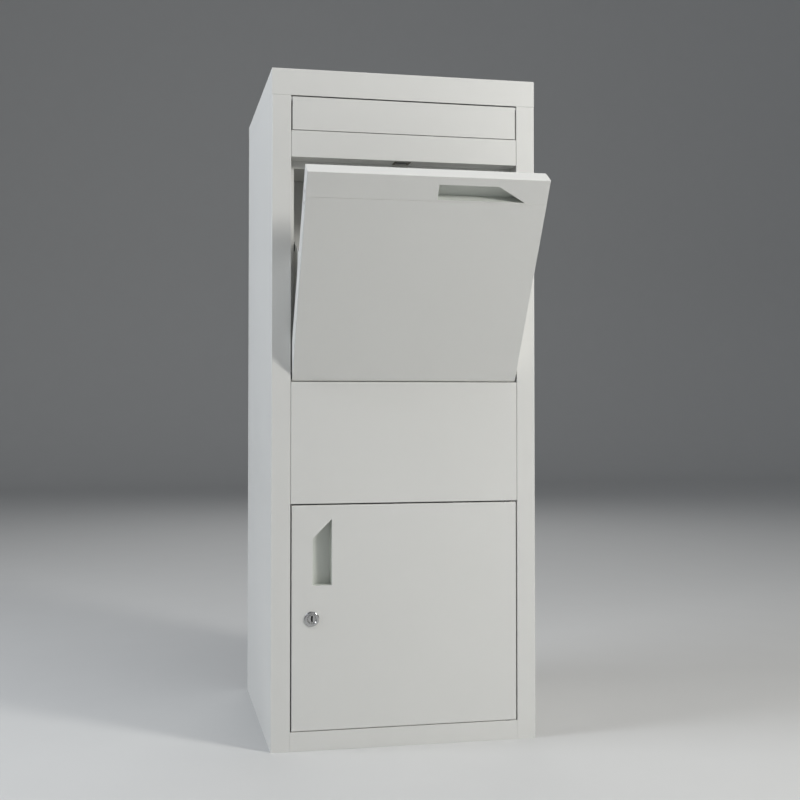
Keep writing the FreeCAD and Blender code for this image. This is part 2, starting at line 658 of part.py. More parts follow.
def cross_strip():
    """Fixed strip between the drawer and the letter flap, with the drawer's upper stop lip."""
    body = new_body("cross_strip")
    back = plus(STOP_Y, "sheet_thick")
    lip_end = minus("strip_low", "strip_lip")
    shelf = plus(FRONT, "short_flange")
    path = [(FRONT, "strip_low"), (STOP_Y, "strip_low"), (STOP_Y, lip_end), (back, lip_end),
            (back, "strip_low + sheet_thick"), (BEHIND, "strip_low + sheet_thick"),
            (BEHIND, "strip_high - sheet_thick"), (shelf, "strip_high - sheet_thick"),
            (shelf, "strip_high"), (FRONT, "strip_high")]
    pad(body, "YZ", neg(FIXED_X), plus(FIXED_X, FIXED_X), [path])
    for side in (-1, 1):
        edges = span(side, minus(OPEN_X, "lip_trim"), plus(OPEN_X, "overrun"))
        cut(body, "XY", lip_end, "strip_lip",
            [box_outline(edges[0], STOP_Y, edges[1], plus(STOP_Y, "2 * sheet_thick"))])
    cut(body, "XY", lip_end, "strip_lip + sheet_thick",
        [box_outline(CATCH_LEFT, plus(FRONT, "catch_front"), CATCH_RIGHT,
                     plus(STOP_Y, "2 * sheet_thick"))])
    cut(body, "XY", "strip_low", "sheet_thick",
        circles=[(x, CATCH_SCREW_Y, "catch_screw") for x in CATCH_SCREW_X])
    round_edges(body, "panel_round", front_rim(body))
    return keep(body)


def roof_cap():
    """Flat roof whose side flanges taper from the deep front to the shallow rear."""
    body = new_body("roof_cap")
    pad(body, "XY", "cap_low", "total_height - cap_low",
        [box_outline(neg(HALF), FRONT, HALF, REAR)])
    inner_rear = minus(REAR, "sheet_thick")
    cut(body, "XY", "cap_low", "total_height - cap_low - sheet_thick",
        [box_outline(neg(INNER_X), BEHIND, INNER_X, inner_rear)])
    beyond = plus(REAR, "overrun")
    taper = [(FRONT, "cap_low"), (beyond, "cap_low"), (beyond, "cap_rear"), (REAR, "cap_rear")]
    cut(body, "YZ", neg(plus(HALF, "overrun")), "body_width + 2 * overrun", [taper])
    pad(body, "XY", "cap_low", "sheet_thick",
        [box_outline(neg(FIXED_X), FRONT, FIXED_X, plus(FRONT, "cap_return"))])
    # Open corner seams between the front lip and the side flanges.
    for side in (-1, 1):
        edges = span(side, INNER_X, HALF)
        cut(body, "XY", "cap_low", "total_height - cap_low - sheet_thick",
            [box_outline(edges[0], plus(BEHIND, "fit_gap"), edges[1],
                         plus(BEHIND, "fit_gap + seam_gap"))])
    holes = [(on_side(side, RIVET_X), CAP_SCREW_Z, "rivet_radius") for side in (-1, 1)]
    cut(body, "XZ", inner_rear, "sheet_thick", circles=holes)
    top = size("total_height")
    round_edges(body, "cap_round", lambda edge: edge.BoundBox.ZMin > top - NEAR)
    return keep(body)


def cap_screws():
    """Socket screws through the cap's rear and the back panel."""
    screws = []
    for side in (-1, 1):
        x = on_side(side, RIVET_X)
        shank = cylinder("Y", (x, minus(REAR, "cap_screw_length"), CAP_SCREW_Z),
                         "cap_screw_length", "rivet_radius")
        head = cylinder("Y", (x, REAR, CAP_SCREW_Z), "cap_screw_head_depth", "cap_screw_head")
        socket = cylinder("Y", (x, plus(REAR, "overrun"), CAP_SCREW_Z), "cap_screw_head_depth",
                          "cap_screw_socket")
        screws.append(bored(joined(shank, head), socket))
    return keep(group("cap_screws", screws))


def letter_ramp():
    """Sloping shelf that slides letters back over the baffle."""
    body = new_body("letter_ramp")
    nose = plus(FRONT, "short_flange - overrun")
    nose_z = "strip_high - sheet_thick"
    rear = plus("baffle_y", "sheet_thick")
    pad(body, "YZ", neg(INNER_X), plus(INNER_X, INNER_X),
        [[(nose, minus(nose_z, "sheet_thick")), (rear, "ramp_rear - sheet_thick"),
          (rear, "ramp_rear"), (nose, nose_z)]])
    for side in (-1, 1):
        edges = span(side, FIXED_X, HALF)
        cut(body, "XY", "ramp_rear", "ramp_notch",
            [box_outline(edges[0], FRONT, edges[1], plus(STOP_Y, "2 * sheet_thick"))])
        flange = span(side, minus(INNER_X, "sheet_thick"), INNER_X)
        front = plus(STOP_Y, "ramp_flange_front")
        back = "baffle_y - ramp_flange_rear"
        pad(body, "YZ", flange[0], "sheet_thick",
            [[(front, "ramp_rear + ramp_flange_low"), (back, "ramp_rear - ramp_flange_drop"),
              (back, "ramp_rear"), (front, "ramp_rear + ramp_flange_high")]])
    return keep(body)


def rear_baffle():
    """Upright guard behind the drawer, so that nobody reaches the parcels from above."""
    body = new_body("rear_baffle")
    pad(body, "XZ", "baffle_y", "sheet_thick",
        [box_outline(neg(INNER_X), "baffle_low", INNER_X,
                     "ramp_rear - sheet_thick - close_gap")])
    for side in (-1, 1):
        edges = span(side, minus(INNER_X, "sheet_thick"), INNER_X)
        pad(body, "XY", "baffle_low", "ramp_rear - baffle_low - baffle_flange_end",
            [box_outline(edges[0], "baffle_y + sheet_thick", edges[1],
                         "baffle_y + baffle_flange")])
    hem_end = minus(INNER_X, "baffle_hem_in")
    pad(body, "XY", "baffle_low", "sheet_thick",
        [box_outline(neg(hem_end), "baffle_y + sheet_thick", hem_end, "baffle_y + baffle_hem")])
    return keep(body)


def magnetic_catch():
    """Housing, magnet, pole plates and screws, let into the strip's lower flange."""
    housing = new_body("catch_housing")
    pad(housing, "XY", "strip_low", "catch_height",
        [box_outline(CATCH_LEFT + " + close_gap", plus(FRONT, "catch_front + close_gap"),
                     CATCH_RIGHT + " - close_gap", plus(STOP_Y, "sheet_thick - close_gap"))])
    pad(housing, "XY", "strip_low + sheet_thick", "catch_ear_thick",
        [box_outline(CATCH_LEFT + " - catch_ear", plus(FRONT, "catch_ear_front"),
                     CATCH_RIGHT + " + catch_ear", plus(FRONT, "catch_ear_rear"))])
    left = "catch_x - pole_half"
    right = "catch_x + pole_half"
    cut(housing, "XY", "strip_low", "pole_height",
        [box_outline(left, plus(FRONT, "pole_front"), right,
                     plus(FRONT, "pole_rear + pole_thick"))])
    cut(housing, "XY", "strip_low + sheet_thick", "catch_ear_thick",
        circles=[(x, CATCH_SCREW_Y, "catch_screw") for x in CATCH_SCREW_X])
    keep(housing)
    magnet = new_body("catch_magnet")
    pad(magnet, "XY", "strip_low + magnet_rise", "pole_height - magnet_rise",
        [box_outline(left, plus(FRONT, "pole_front + pole_thick"), right,
                     plus(FRONT, "pole_rear"))])
    keep(magnet)
    plates = []
    for place in ("pole_front", "pole_rear"):
        plates.append(block((left, plus(FRONT, place), "strip_low"),
                            ("2 * pole_half", "pole_thick", "pole_height")))
    keep(group("catch_pole_plates", plates))
    screws = []
    for x in CATCH_SCREW_X:
        shank = cylinder("Z", (x, CATCH_SCREW_Y, "strip_low + close_gap"), "catch_screw_length",
                         "catch_screw")
        head = cylinder("Z", (x, CATCH_SCREW_Y, "strip_low + sheet_thick + catch_ear_thick"),
                        "catch_screw_head_depth", "catch_screw_head")
        screws.append(joined(shank, head))
    keep(group("catch_screws", screws))


def door_buffers():
    """Rubber pads on the left stop lip, behind the door's free edge."""
    pads = []
    front = "door_depth + free_gap"
    for z in ("door_buffer_low", "door_buffer_high"):
        pads.append(block((neg(minus(OPEN_X, "door_buffer_inset")), plus(FRONT, front), z),
                          ("door_buffer_width", minus("return_depth", front),
                           "door_buffer_height")))
    return keep(group("door_buffers", pads))


# ---------------------------------------------------------------- letter flap

def flap_hinge():
    """Rod between the side panels' returns, with a push-on cap at each end."""
    axis = ("flap_axis_y", "flap_axis_z")
    outside = plus(OPEN_X, "sheet_thick")
    rod_end = plus(outside, "rod_end")
    rod = cylinder("X", (neg(rod_end),) + axis, plus(rod_end, rod_end), "flap_rod")
    keep(named("flap_hinge_rod", rod))
    caps = []
    for side in (-1, 1):
        cap_edges = span(side, outside, plus(outside, "rod_cap_length"))
        hole_edges = span(side, outside, rod_end)
        cap = cylinder("X", (cap_edges[0],) + axis, "rod_cap_length", "rod_cap_radius")
        hole = cylinder("X", (hole_edges[0],) + axis, "rod_end", "flap_rod")
        caps.append(bored(cap, hole))
    keep(group("flap_rod_caps", caps))


def letter_flap():
    """Push-in flap: stiffened sheet with a hinge tube welded behind its upper edge."""
    body = new_body("letter_flap")
    pad(body, "XZ", FRONT, "sheet_thick",
        [box_outline(neg(MOVING_X), "flap_low", MOVING_X, "flap_high")])
    pad(body, "XY", "flap_low", "sheet_thick",
        [box_outline(neg(MOVING_X), BEHIND, MOVING_X, plus(FRONT, "flap_flange"))])
    for side in (-1, 1):
        edges = span(side, minus(MOVING_X, "sheet_thick"), MOVING_X)
        pad(body, "YZ", edges[0], "sheet_thick",
            [box_outline(BEHIND, "flap_low", plus(FRONT, "flap_flange"),
                         "flap_axis_z - flap_flange_drop")])
    tube_end = minus(MOVING_X, "tube_inset")
    tube_length = plus(tube_end, tube_end)
    axis = ("flap_axis_y", "flap_axis_z")
    pad(body, "YZ", neg(tube_end), tube_length, circles=[axis + ("flap_tube",)])
    pad(body, "YZ", neg(tube_end), tube_length,
        [box_outline(BEHIND, "flap_axis_z - web_half", "flap_axis_y", "flap_axis_z + web_half")])
    window = box_outline(BEHIND, "flap_axis_z - spring_window", "flap_axis_y + spring_window",
                         "flap_axis_z + spring_window")
    cut(body, "YZ", "spring_start - spring_room",
        "spring_turns * spring_pitch + 2 * spring_room", [window])
    cut(body, "YZ", neg(tube_end), tube_length, circles=[axis + ("flap_rod + flap_running",)])
    round_edges(body, "flap_round", front_rim(body))
    return keep(body)


def flap_spring():
    """Torsion spring round the hinge rod: one leg on the flap, one under the roof cap."""
    pitch = size("spring_pitch")
    radius = size("spring_radius")
    wire = size("spring_wire")
    height = size("spring_turns") * pitch
    helix = Part.makeHelix(pitch, height, radius)
    ring = Part.Circle(FreeCAD.Vector(radius, 0, 0), FreeCAD.Vector(0, 1, 0), wire)
    coil = Part.Wire(helix.Edges).makePipeShell([Part.Wire([ring.toShape()])], True, True)
    flap_leg = Part.makeCylinder(wire, radius, FreeCAD.Vector(radius, 0, 0),
                                 FreeCAD.Vector(0, -1, 0))
    cap_leg = Part.makeCylinder(wire, 2 * radius, FreeCAD.Vector(0, radius, height),
                                FreeCAD.Vector(-1, 0, 0))
    spring = doc.addObject("Part::Feature", "flap_spring")
    spring.Label = "flap_spring"
    spring.Shape = coil.fuse([flap_leg, cap_leg])
    along_x = FreeCAD.Rotation(FreeCAD.Vector(0, 1, 0), 90)
    start = FreeCAD.Vector(size("spring_start"), size("flap_axis_y"), size("flap_axis_z"))
    spring.Placement = FreeCAD.Placement(start, along_x)
    return keep(spring)


# ---------------------------------------------------------------- parcel drawer

def drawer_front():
    """Main pan of the tilting front, below the seam."""
    body = new_body("drawer_front")
    seam = "drawer_seam - drawer_split / 2"
    pad(body, "XZ", FRONT, "drawer_depth",
        [box_outline(neg(MOVING_X), "drawer_low", MOVING_X, seam)])
    inner = minus(MOVING_X, "sheet_thick")
    cut(body, "XZ", BEHIND, "drawer_depth",
        [box_outline(neg(inner), "drawer_low + sheet_thick", inner, minus(seam, "sheet_thick"))])
    cut(body, "XZ", plus(FRONT, "seam_flange"), "drawer_depth",
        [box_outline(neg(inner), "drawer_seam - flange_room", inner,
                     "drawer_seam + flange_room")])
    for side in (-1, 1):
        tab = span(side, minus(inner, "sheet_thick"), inner)
        pad(body, "YZ", tab[0], "sheet_thick",
            [box_outline(plus(FRONT, "tab_front"), "drawer_seam - tab_low",
                         plus(FRONT, "tab_rear"), "drawer_seam + tab_high")])
        both = span(side, minus(inner, "sheet_thick"), MOVING_X)
        cut(body, "YZ", both[0], "2 * sheet_thick",
            circles=[(TAB_RIVET_Y, TAB_RIVET_LOW, "tab_rivet")])
        cut(body, "YZ", tab[0], "sheet_thick",
            circles=[(TAB_RIVET_Y, TAB_RIVET_HIGH, "tab_rivet")])
        flange = span(side, inner, MOVING_X)
        cut(body, "YZ", flange[0], "sheet_thick",
            circles=[(PIVOT_Y, PIVOT_Z, "pivot_radius + bush_wall")])
    round_edges(body, "pan_round", front_rim(body))
    return keep(body, on_drawer=True)


def drawer_grip_outline(wall):
    """The hand recess of the drawer, grown by wall."""
    slant = "(drawer_grip_long - drawer_grip_short) / (drawer_grip_high - drawer_grip_low)"
    grow = "%s * (sqrt(1 + (%s) * (%s)) + (%s))" % (wall, slant, slant, slant)
    shrink = "%s * (sqrt(1 + (%s) * (%s)) - (%s))" % (wall, slant, slant, slant)
    left = minus("drawer_grip_x", wall)
    return [(left, minus("drawer_grip_low", wall)),
            (plus("drawer_grip_x + drawer_grip_long", grow), minus("drawer_grip_low", wall)),
            (plus("drawer_grip_x + drawer_grip_short", shrink), plus("drawer_grip_high", wall)),
            (left, plus("drawer_grip_high", wall))]


def drawer_handle_strip():
    """Upper part of the drawer's front, with the cut-out of the hand recess."""
    body = new_body("drawer_handle_strip")
    seam = "drawer_seam + drawer_split / 2"
    pad(body, "XZ", STRIP_FRONT, "drawer_depth - seam_step",
        [box_outline(neg(MOVING_X), seam, MOVING_X, "drawer_high")])
    inner = minus(MOVING_X, "sheet_thick")
    cut(body, "XZ", STRIP_BEHIND, "drawer_depth",
        [box_outline(neg(inner), plus(seam, "sheet_thick"), inner,
                     "drawer_high - sheet_thick")])
    cut(body, "XZ", plus(FRONT, "seam_flange"), "drawer_depth",
        [box_outline(neg(inner), seam, inner, "drawer_seam + flange_room")])
    for side in (-1, 1):
        notch = span(side, minus(inner, "2 * sheet_thick"), inner)
        cut(body, "YZ", notch[0], "2 * sheet_thick",
            [box_outline(STRIP_BEHIND, seam, plus(FRONT, "tab_rear + seam_gap"),
                         "drawer_seam + tab_room")])
        flange = span(side, inner, MOVING_X)
        cut(body, "YZ", flange[0], "sheet_thick",
            circles=[(TAB_RIVET_Y, TAB_RIVET_HIGH, "tab_rivet")])
    cut(body, "XZ", STRIP_FRONT, "sheet_thick", [drawer_grip_outline("0")])
    cut(body, "XY", seam, "sheet_thick",
        [box_outline("drawer_grip_x - 2 * grip_wall", STRIP_BEHIND,
                     "drawer_grip_x + drawer_grip_long + grip_room",
                     plus(FRONT, "seam_flange + overrun"))])
    low = body.Shape.BoundBox.ZMin
    outer_rim = front_rim(body)
    round_edges(body, "pan_round",
                lambda edge: outer_rim(edge) and edge.BoundBox.ZMax > low + NEAR)
    return keep(body, on_drawer=True)


def drawer_grip():
    """Welded box behind the cut-out, with the cut-out's own outline."""
    body = new_body("drawer_hand_recess")
    pad(body, "XZ", STRIP_BEHIND, "grip_depth", [drawer_grip_outline("grip_wall")])
    cut(body, "XZ", STRIP_BEHIND, "grip_depth - grip_wall", [drawer_grip_outline("0")])
    return keep(body, on_drawer=True)


def drawer_rivets():
    """Blind rivets that join the handle strip to the tabs of the pan."""
    rivets = []
    length = "(2 * sheet_thick + tab_rivet_tail)"
    for side in (-1, 1):
        shank_edges = span(side, minus(MOVING_X, length), MOVING_X)
        head_edges = span(side, MOVING_X, plus(MOVING_X, "rivet_head_depth"))
        for z in (TAB_RIVET_HIGH, TAB_RIVET_LOW):
            shank = cylinder("X", (shank_edges[0], TAB_RIVET_Y, z), length, "tab_rivet")
            head = cylinder("X", (head_edges[0], TAB_RIVET_Y, z), "rivet_head_depth",
                            "tab_rivet_head")
            rivets.append(joined(shank, head))
    return keep(group("drawer_rivets", rivets), on_drawer=True)


def open_place(y, z):
    """A point given beside the pivot with the drawer open, as it lies with it closed."""
    closed_y = "%s + (%s) * cos(drawer_tilt) + (%s) * sin(drawer_tilt)" % (PIVOT_Y, y, z)
    closed_z = "%s - (%s) * sin(drawer_tilt) + (%s) * cos(drawer_tilt)" % (PIVOT_Z, y, z)
    return closed_y, closed_z


def cheek(name, side):
    """Quadrant side of the hopper, with a front flange and a stop ear."""
    plate = new_body(name + "_blank")
    edges = span(side, minus(CHEEK_X, "sheet_thick"), CHEEK_X)
    corner_y = plus(PIVOT_Y, "cheek_radius")
    pad(plate, "YZ", edges[0], "sheet_thick",
        [[(BEHIND, TRAY_FLAT), (plus(PIVOT_Y, "tray_start"), TRAY_FLAT),
          (TRAY_END_Y, TRAY_END_Z), (corner_y, TRAY_END_Z),
          (corner_y, plus(PIVOT_Z, "cheek_rear")), (BEHIND, plus(PIVOT_Z, "cheek_front"))]])
    edges = span(side, minus(CHEEK_X, "cheek_flange"), minus(CHEEK_X, "sheet_thick / 2"))
    pad(plate, "XZ", BEHIND, "sheet_thick",
        [box_outline(edges[0], plus(TRAY_FLAT, "cheek_flange_rise"), edges[1],
                     plus(PIVOT_Z, "cheek_front - cheek_flange_drop"))])
    near = plus(STOP_BACK, "ear_buffer + free_gap")
    far = plus(near, "sheet_thick")
    ear = [open_place(near, "ear_low"), open_place(far, "ear_low"),
           open_place(far, "ear_high"), open_place(near, "ear_high")]
    edges = span(side, minus(CHEEK_X, "sheet_thick / 2"), plus(CHEEK_X, "ear_reach"))
    pad(plate, "YZ", edges[0], "ear_reach + sheet_thick / 2", [ear])
    disc = cylinder("X", (neg(HALF), PIVOT_Y, PIVOT_Z), "body_width", "cheek_radius")
    quadrant = doc.addObject("Part::Common", name)
    quadrant.Base = plate
    quadrant.Tool = disc
    return keep(named(name, quadrant), on_drawer=True)


def stop_buffers():
    """Rubber pads on the ears, which meet the stop lips when the drawer is open."""
    body = new_body("drawer_stop_buffers")
    body.AllowCompound = True
    near = plus(STOP_BACK, "free_gap")
    far = plus(near, "ear_buffer")
    low = "ear_low + ear_margin"
    high = "ear_high - ear_margin"
    outline = [open_place(near, low), open_place(far, low), open_place(far, high),
               open_place(near, high)]
    for side in (-1, 1):
        edges = span(side, plus(CHEEK_X, "ear_margin"), plus(CHEEK_X, "ear_reach"))
        pad(body, "YZ", edges[0], "ear_reach - ear_margin", [outline])
    return keep(body, on_drawer=True)


def hopper_tray():
    """Floor of the hopper: flat on the pan's lower flange, then falling to the rear."""
    body = new_body("hopper_tray")
    bend = plus(PIVOT_Y, "tray_start")
    top = plus(TRAY_FLAT, "sheet_thick")
    width = minus(CHEEK_X, "sheet_thick")
    path = [(BEHIND, TRAY_FLAT), (bend, TRAY_FLAT), (TRAY_END_Y, TRAY_END_Z),
            (plus(TRAY_END_Y, "sheet_thick * sin(tray_slope)"),
             plus(TRAY_END_Z, "sheet_thick * cos(tray_slope)")),
            (plus(bend, "sheet_thick * tan(tray_slope / 2)"), top), (BEHIND, top)]
    pad(body, "YZ", neg(width), plus(width, width), [path])
    return keep(body, on_drawer=True)


def headed_pin(axis, shank_base, shank_length, head_base, head_depth):
    """Pivot pin: a shank and a wider head."""
    shank = cylinder(axis, shank_base, shank_length, "pivot_radius")
    head = cylinder(axis, head_base, head_depth, "pivot_radius + pin_head_out")
    return joined(shank, head)


def flanged_bush(axis, sleeve_base, sleeve_length, collar_base, collar_length):
    """Pivot bush: a sleeve and a collar, bored through for the pin."""
    sleeve = cylinder(axis, sleeve_base, sleeve_length, "pivot_radius + bush_wall")
    collar = cylinder(axis, collar_base, collar_length, "pivot_radius + collar_out")
    bore_base = list(sleeve_base)
    along = "XYZ".index(axis)
    bore_base[along] = minus(sleeve_base[along], BORE_OVERRUN)
    bore_length = plus(plus(sleeve_length, collar_length), "2 * " + BORE_OVERRUN)
    bore = cylinder(axis, bore_base, bore_length, "pivot_radius + pivot_running")
    return bored(joined(sleeve, collar), bore)


def drawer_pivots():
    """Shoulder pins in the stiles, and the plastic bushes that turn on them."""
    pins = []
    bushes = []
    outside = plus(OPEN_X, "sheet_thick")
    collar_length = "(side_gap - free_gap)"
    for side in (-1, 1):
        shank = span(side, minus(MOVING_X, "pin_reach"), outside)
        head = span(side, outside, plus(outside, "pin_head_depth"))
        pins.append(headed_pin("X", (shank[0], PIVOT_Y, PIVOT_Z),
                               "side_gap + sheet_thick + pin_reach",
                               (head[0], PIVOT_Y, PIVOT_Z), "pin_head_depth"))
        sleeve = span(side, minus(MOVING_X, "bush_length"), MOVING_X)
        collar = span(side, MOVING_X, plus(MOVING_X, collar_length))
        bushes.append(flanged_bush("X", (sleeve[0], PIVOT_Y, PIVOT_Z), "bush_length",
                                   (collar[0], PIVOT_Y, PIVOT_Z), collar_length))
    keep(group("drawer_pivot_pins", pins))
    keep(group("drawer_pivot_bushes", bushes), on_drawer=True)


# ---------------------------------------------------------------- collection door

def door_grip_outline(wall):
    """The hand recess of the door, grown by wall."""
    slant = "(door_grip_long - door_grip_short) / door_grip_width"
    low_corner = "%s * (sqrt(1 + (%s) * (%s)) - (%s))" % (wall, slant, slant, slant)
    high_corner = "%s * (sqrt(1 + (%s) * (%s)) + (%s))" % (wall, slant, slant, slant)
    left = minus("door_grip_x", wall)
    right = plus("door_grip_x + door_grip_width", wall)
    return [(left, minus("door_grip_low", wall)), (right, minus("door_grip_low", wall)),
            (right, plus("door_grip_low + door_grip_long", high_corner)),
            (left, plus("door_grip_low + door_grip_short", low_corner))]


def door_front():
    """Door pan, with the cut-outs for the hand recess and the lock."""
    body = new_body("door_front")
    pad(body, "XZ", FRONT, "door_depth",
        [box_outline(neg(MOVING_X), "door_low", MOVING_X, "door_high")])
    inner = minus(MOVING_X, "sheet_thick")
    cut(body, "XZ", BEHIND, "door_depth",
        [box_outline(neg(inner), "door_low + sheet_thick", inner, "door_high - sheet_thick")])
    cut(body, "XZ", FRONT, "sheet_thick", [door_grip_outline("0")],
        [("lock_x", "lock_z", "lock_radius + fit_gap")])
    for low in ("door_low", "door_high - sheet_thick"):
        cut(body, "XY", low, "sheet_thick", circles=[(DOOR_PIVOT_X, PIVOT_Y, "pivot_radius")])
    round_edges(body, "pan_round", front_rim(body))
    return keep(body)


def door_grip():
    """Welded box behind the door's cut-out, with the cut-out's own outline."""
    body = new_body("door_hand_recess")
    pad(body, "XZ", BEHIND, "grip_depth", [door_grip_outline("grip_wall")])
    cut(body, "XZ", BEHIND, "grip_depth - grip_wall", [door_grip_outline("0")])
    return keep(body)


def door_stiffener():
    """Upright hat section spot-welded behind the door's sheet."""
    body = new_body("door_stiffener")
    crown = plus(BEHIND, "hat_rise")
    behind_flange = plus(BEHIND, "sheet_thick")
    right_half = [("hat_half", crown), ("hat_half", BEHIND), ("hat_flange", BEHIND),
                  ("hat_flange", behind_flange), ("hat_half + sheet_thick", behind_flange),
                  ("hat_half + sheet_thick", plus(crown, "sheet_thick"))]
    left_half = [(neg(x), y) for x, y in reversed(right_half)]
    pad(body, "XY", "door_low + hat_end", "door_high - door_low - 2 * hat_end",
        [right_half + left_half])
    return keep(body)


def door_hinges():
    """Headed pins in the door's ends and flanged plastic bushes in the frame."""
    axis = (DOOR_PIVOT_X, PIVOT_Y)
    rail_flange = "(rail_top - sheet_thick)"
    lower_pin = headed_pin("Z", axis + (rail_flange,),
                           minus("door_low + sheet_thick", rail_flange),
                           axis + ("door_low + sheet_thick",), "hinge_head_depth")
    upper_pin = headed_pin("Z", axis + ("door_high - sheet_thick",),
                           "panel_low + sheet_thick - (door_high - sheet_thick)",
                           axis + ("door_high - sheet_thick - hinge_head_depth",),
                           "hinge_head_depth")
    keep(group("door_hinge_pins", [lower_pin, upper_pin]))
    low_collar = "(door_low - rail_top - free_gap)"
    high_collar = "(panel_low - door_high - free_gap)"
    lower_bush = flanged_bush("Z", axis + (rail_flange,), "sheet_thick",
                              axis + ("rail_top",), low_collar)
    upper_bush = flanged_bush("Z", axis + ("panel_low",), "sheet_thick",
                              axis + (minus("panel_low", high_collar),), high_collar)
    keep(group("door_hinge_bushes", [lower_bush, upper_bush]))


# ---------------------------------------------------------------- cam lock

LOCK_CENTRE = ("lock_x", "lock_z")


def lock_square():
    return box_outline("lock_x - tail_half", "lock_z - tail_half", "lock_x + tail_half",
                       "lock_z + tail_half")


def lock_body():
    """Barrel with a round bezel, bored for the plug."""
    body = new_body("lock_barrel")
    pad(body, "XZ", LOCK_FRONT, "bezel_depth", circles=[LOCK_CENTRE + ("bezel_radius",)])
    pad(body, "XZ", FRONT, "lock_length", circles=[LOCK_CENTRE + ("lock_radius",)])
    cut(body, "XZ", LOCK_FRONT, "lock_length + bezel_depth",
        circles=[LOCK_CENTRE + ("plug_radius + pivot_running",)])
    face = body.Shape.BoundBox.YMin
    bezel_width = 2 * size("bezel_radius")

    def bezel_rim(edge):
        box = edge.BoundBox
        return box.YMax < face + NEAR and box.XLength > bezel_width - NEAR
    round_edges(body, "bezel_round", bezel_rim)
    return keep(body)


def lock_nut():
    """Hexagon nut that clamps the barrel to the door's sheet."""
    body = new_body("lock_nut")
    corners = []
    for i in range(6):
        turn = 60 * i
        corners.append(("lock_x + nut_radius * cos(%d)" % turn,
                        "lock_z + nut_radius * sin(%d)" % turn))
    pad(body, "XZ", BEHIND, "nut_thick", [corners])
    cut(body, "XZ", BEHIND, "nut_thick", circles=[LOCK_CENTRE + ("lock_radius",)])
    return keep(body)


def lock_plug():
    """Turning plug with an upright key slot and a square tail."""
    body = new_body("lock_plug")
    pad(body, "XZ", plus(LOCK_FRONT, "plug_set"), "lock_length + bezel_depth",
        circles=[LOCK_CENTRE + ("plug_radius",)])
    cut(body, "XZ", LOCK_FRONT, "key_depth",
        [box_outline("lock_x - key_half_width", "lock_z - key_half_height",
                     "lock_x + key_half_width", "lock_z + key_half_height")])
    pad(body, "XZ", plus(LOCK_END, "plug_set"), "tail_length", [lock_square()])
    return keep(body)


def lock_cam():
    """Cam plate, hanging clear of the stop lip when unlocked."""
    body = new_body("lock_cam")
    front = plus(LOCK_END, "cam_gap")
    tip_z = "lock_z - cam_reach"
    right = "lock_x + cam_width / 2"
    left = "lock_x - cam_width / 2"
    pad(body, "XZ", front, "cam_thick",
        [[("lock_x - cam_tip", tip_z), ("lock_x + cam_tip", tip_z),
          (right, "lock_z - cam_shoulder"), (right, "lock_z + cam_heel"),
          (left, "lock_z + cam_heel"), (left, "lock_z - cam_shoulder")]])
    cut(body, "XZ", front, "cam_thick", [lock_square()])
    return keep(body)


def cam_bolt():
    """Socket screw that holds the cam on the plug's tail."""
    base = plus(LOCK_END, "cam_gap + cam_thick")
    head = cylinder("Y", ("lock_x", base, "lock_z"), "bolt_depth", "bolt_head")
    socket = cylinder("Y", ("lock_x", plus(base, "bolt_floor"), "lock_z"), "bolt_depth",
                      "bolt_socket")
    return keep(named("cam_bolt", bored(head, socket)))


# ---------------------------------------------------------------- build and export

for side_name, side_sign in SIDES:
    side_panel(side_name + "_side_panel", side_sign)
back_panel()
back_rivets()
floor_pan()
bottom_rail()
middle_panel()
cross_strip()
roof_cap()
cap_screws()
letter_ramp()
rear_baffle()
magnetic_catch()
door_buffers()
flap_hinge()
letter_flap()
flap_spring()
drawer_front()
drawer_handle_strip()
drawer_grip()
drawer_rivets()
for side_name, side_sign in SIDES:
    cheek(side_name + "_cheek", side_sign)
stop_buffers()
hopper_tray()
drawer_pivots()
door_front()
door_grip()
door_stiffener()
door_hinges()
lock_body()
lock_nut()
lock_plug()
lock_cam()
cam_bolt()

doc.recompute()
for item in doc.Objects:
    if "Invalid" in item.State or "Error" in item.State:
        raise RuntimeError("%s failed: %s" % (item.Label, item.State))
for item in SUBPARTS:
    if item.Shape.isNull() or not item.Shape.isValid() or not item.Shape.Solids:
        raise RuntimeError("%s has no valid solid" % item.Label)

os.makedirs("parts", exist_ok=True)
for item in SUBPARTS:
    item.Shape.exportStep("parts/%s.step" % item.Label)
    bounds = item.Shape.BoundBox
    print("%-24s %2d solids  x %8.2f %8.2f  y %8.2f %8.2f  z %8.2f %8.2f" % (
        item.Label, len(item.Shape.Solids), bounds.XMin, bounds.XMax, bounds.YMin,
        bounds.YMax, bounds.ZMin, bounds.ZMax))
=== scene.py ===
"""Looks, light and camera for the parcel drop box, laid out as a Blender add-on."""
import json
import math

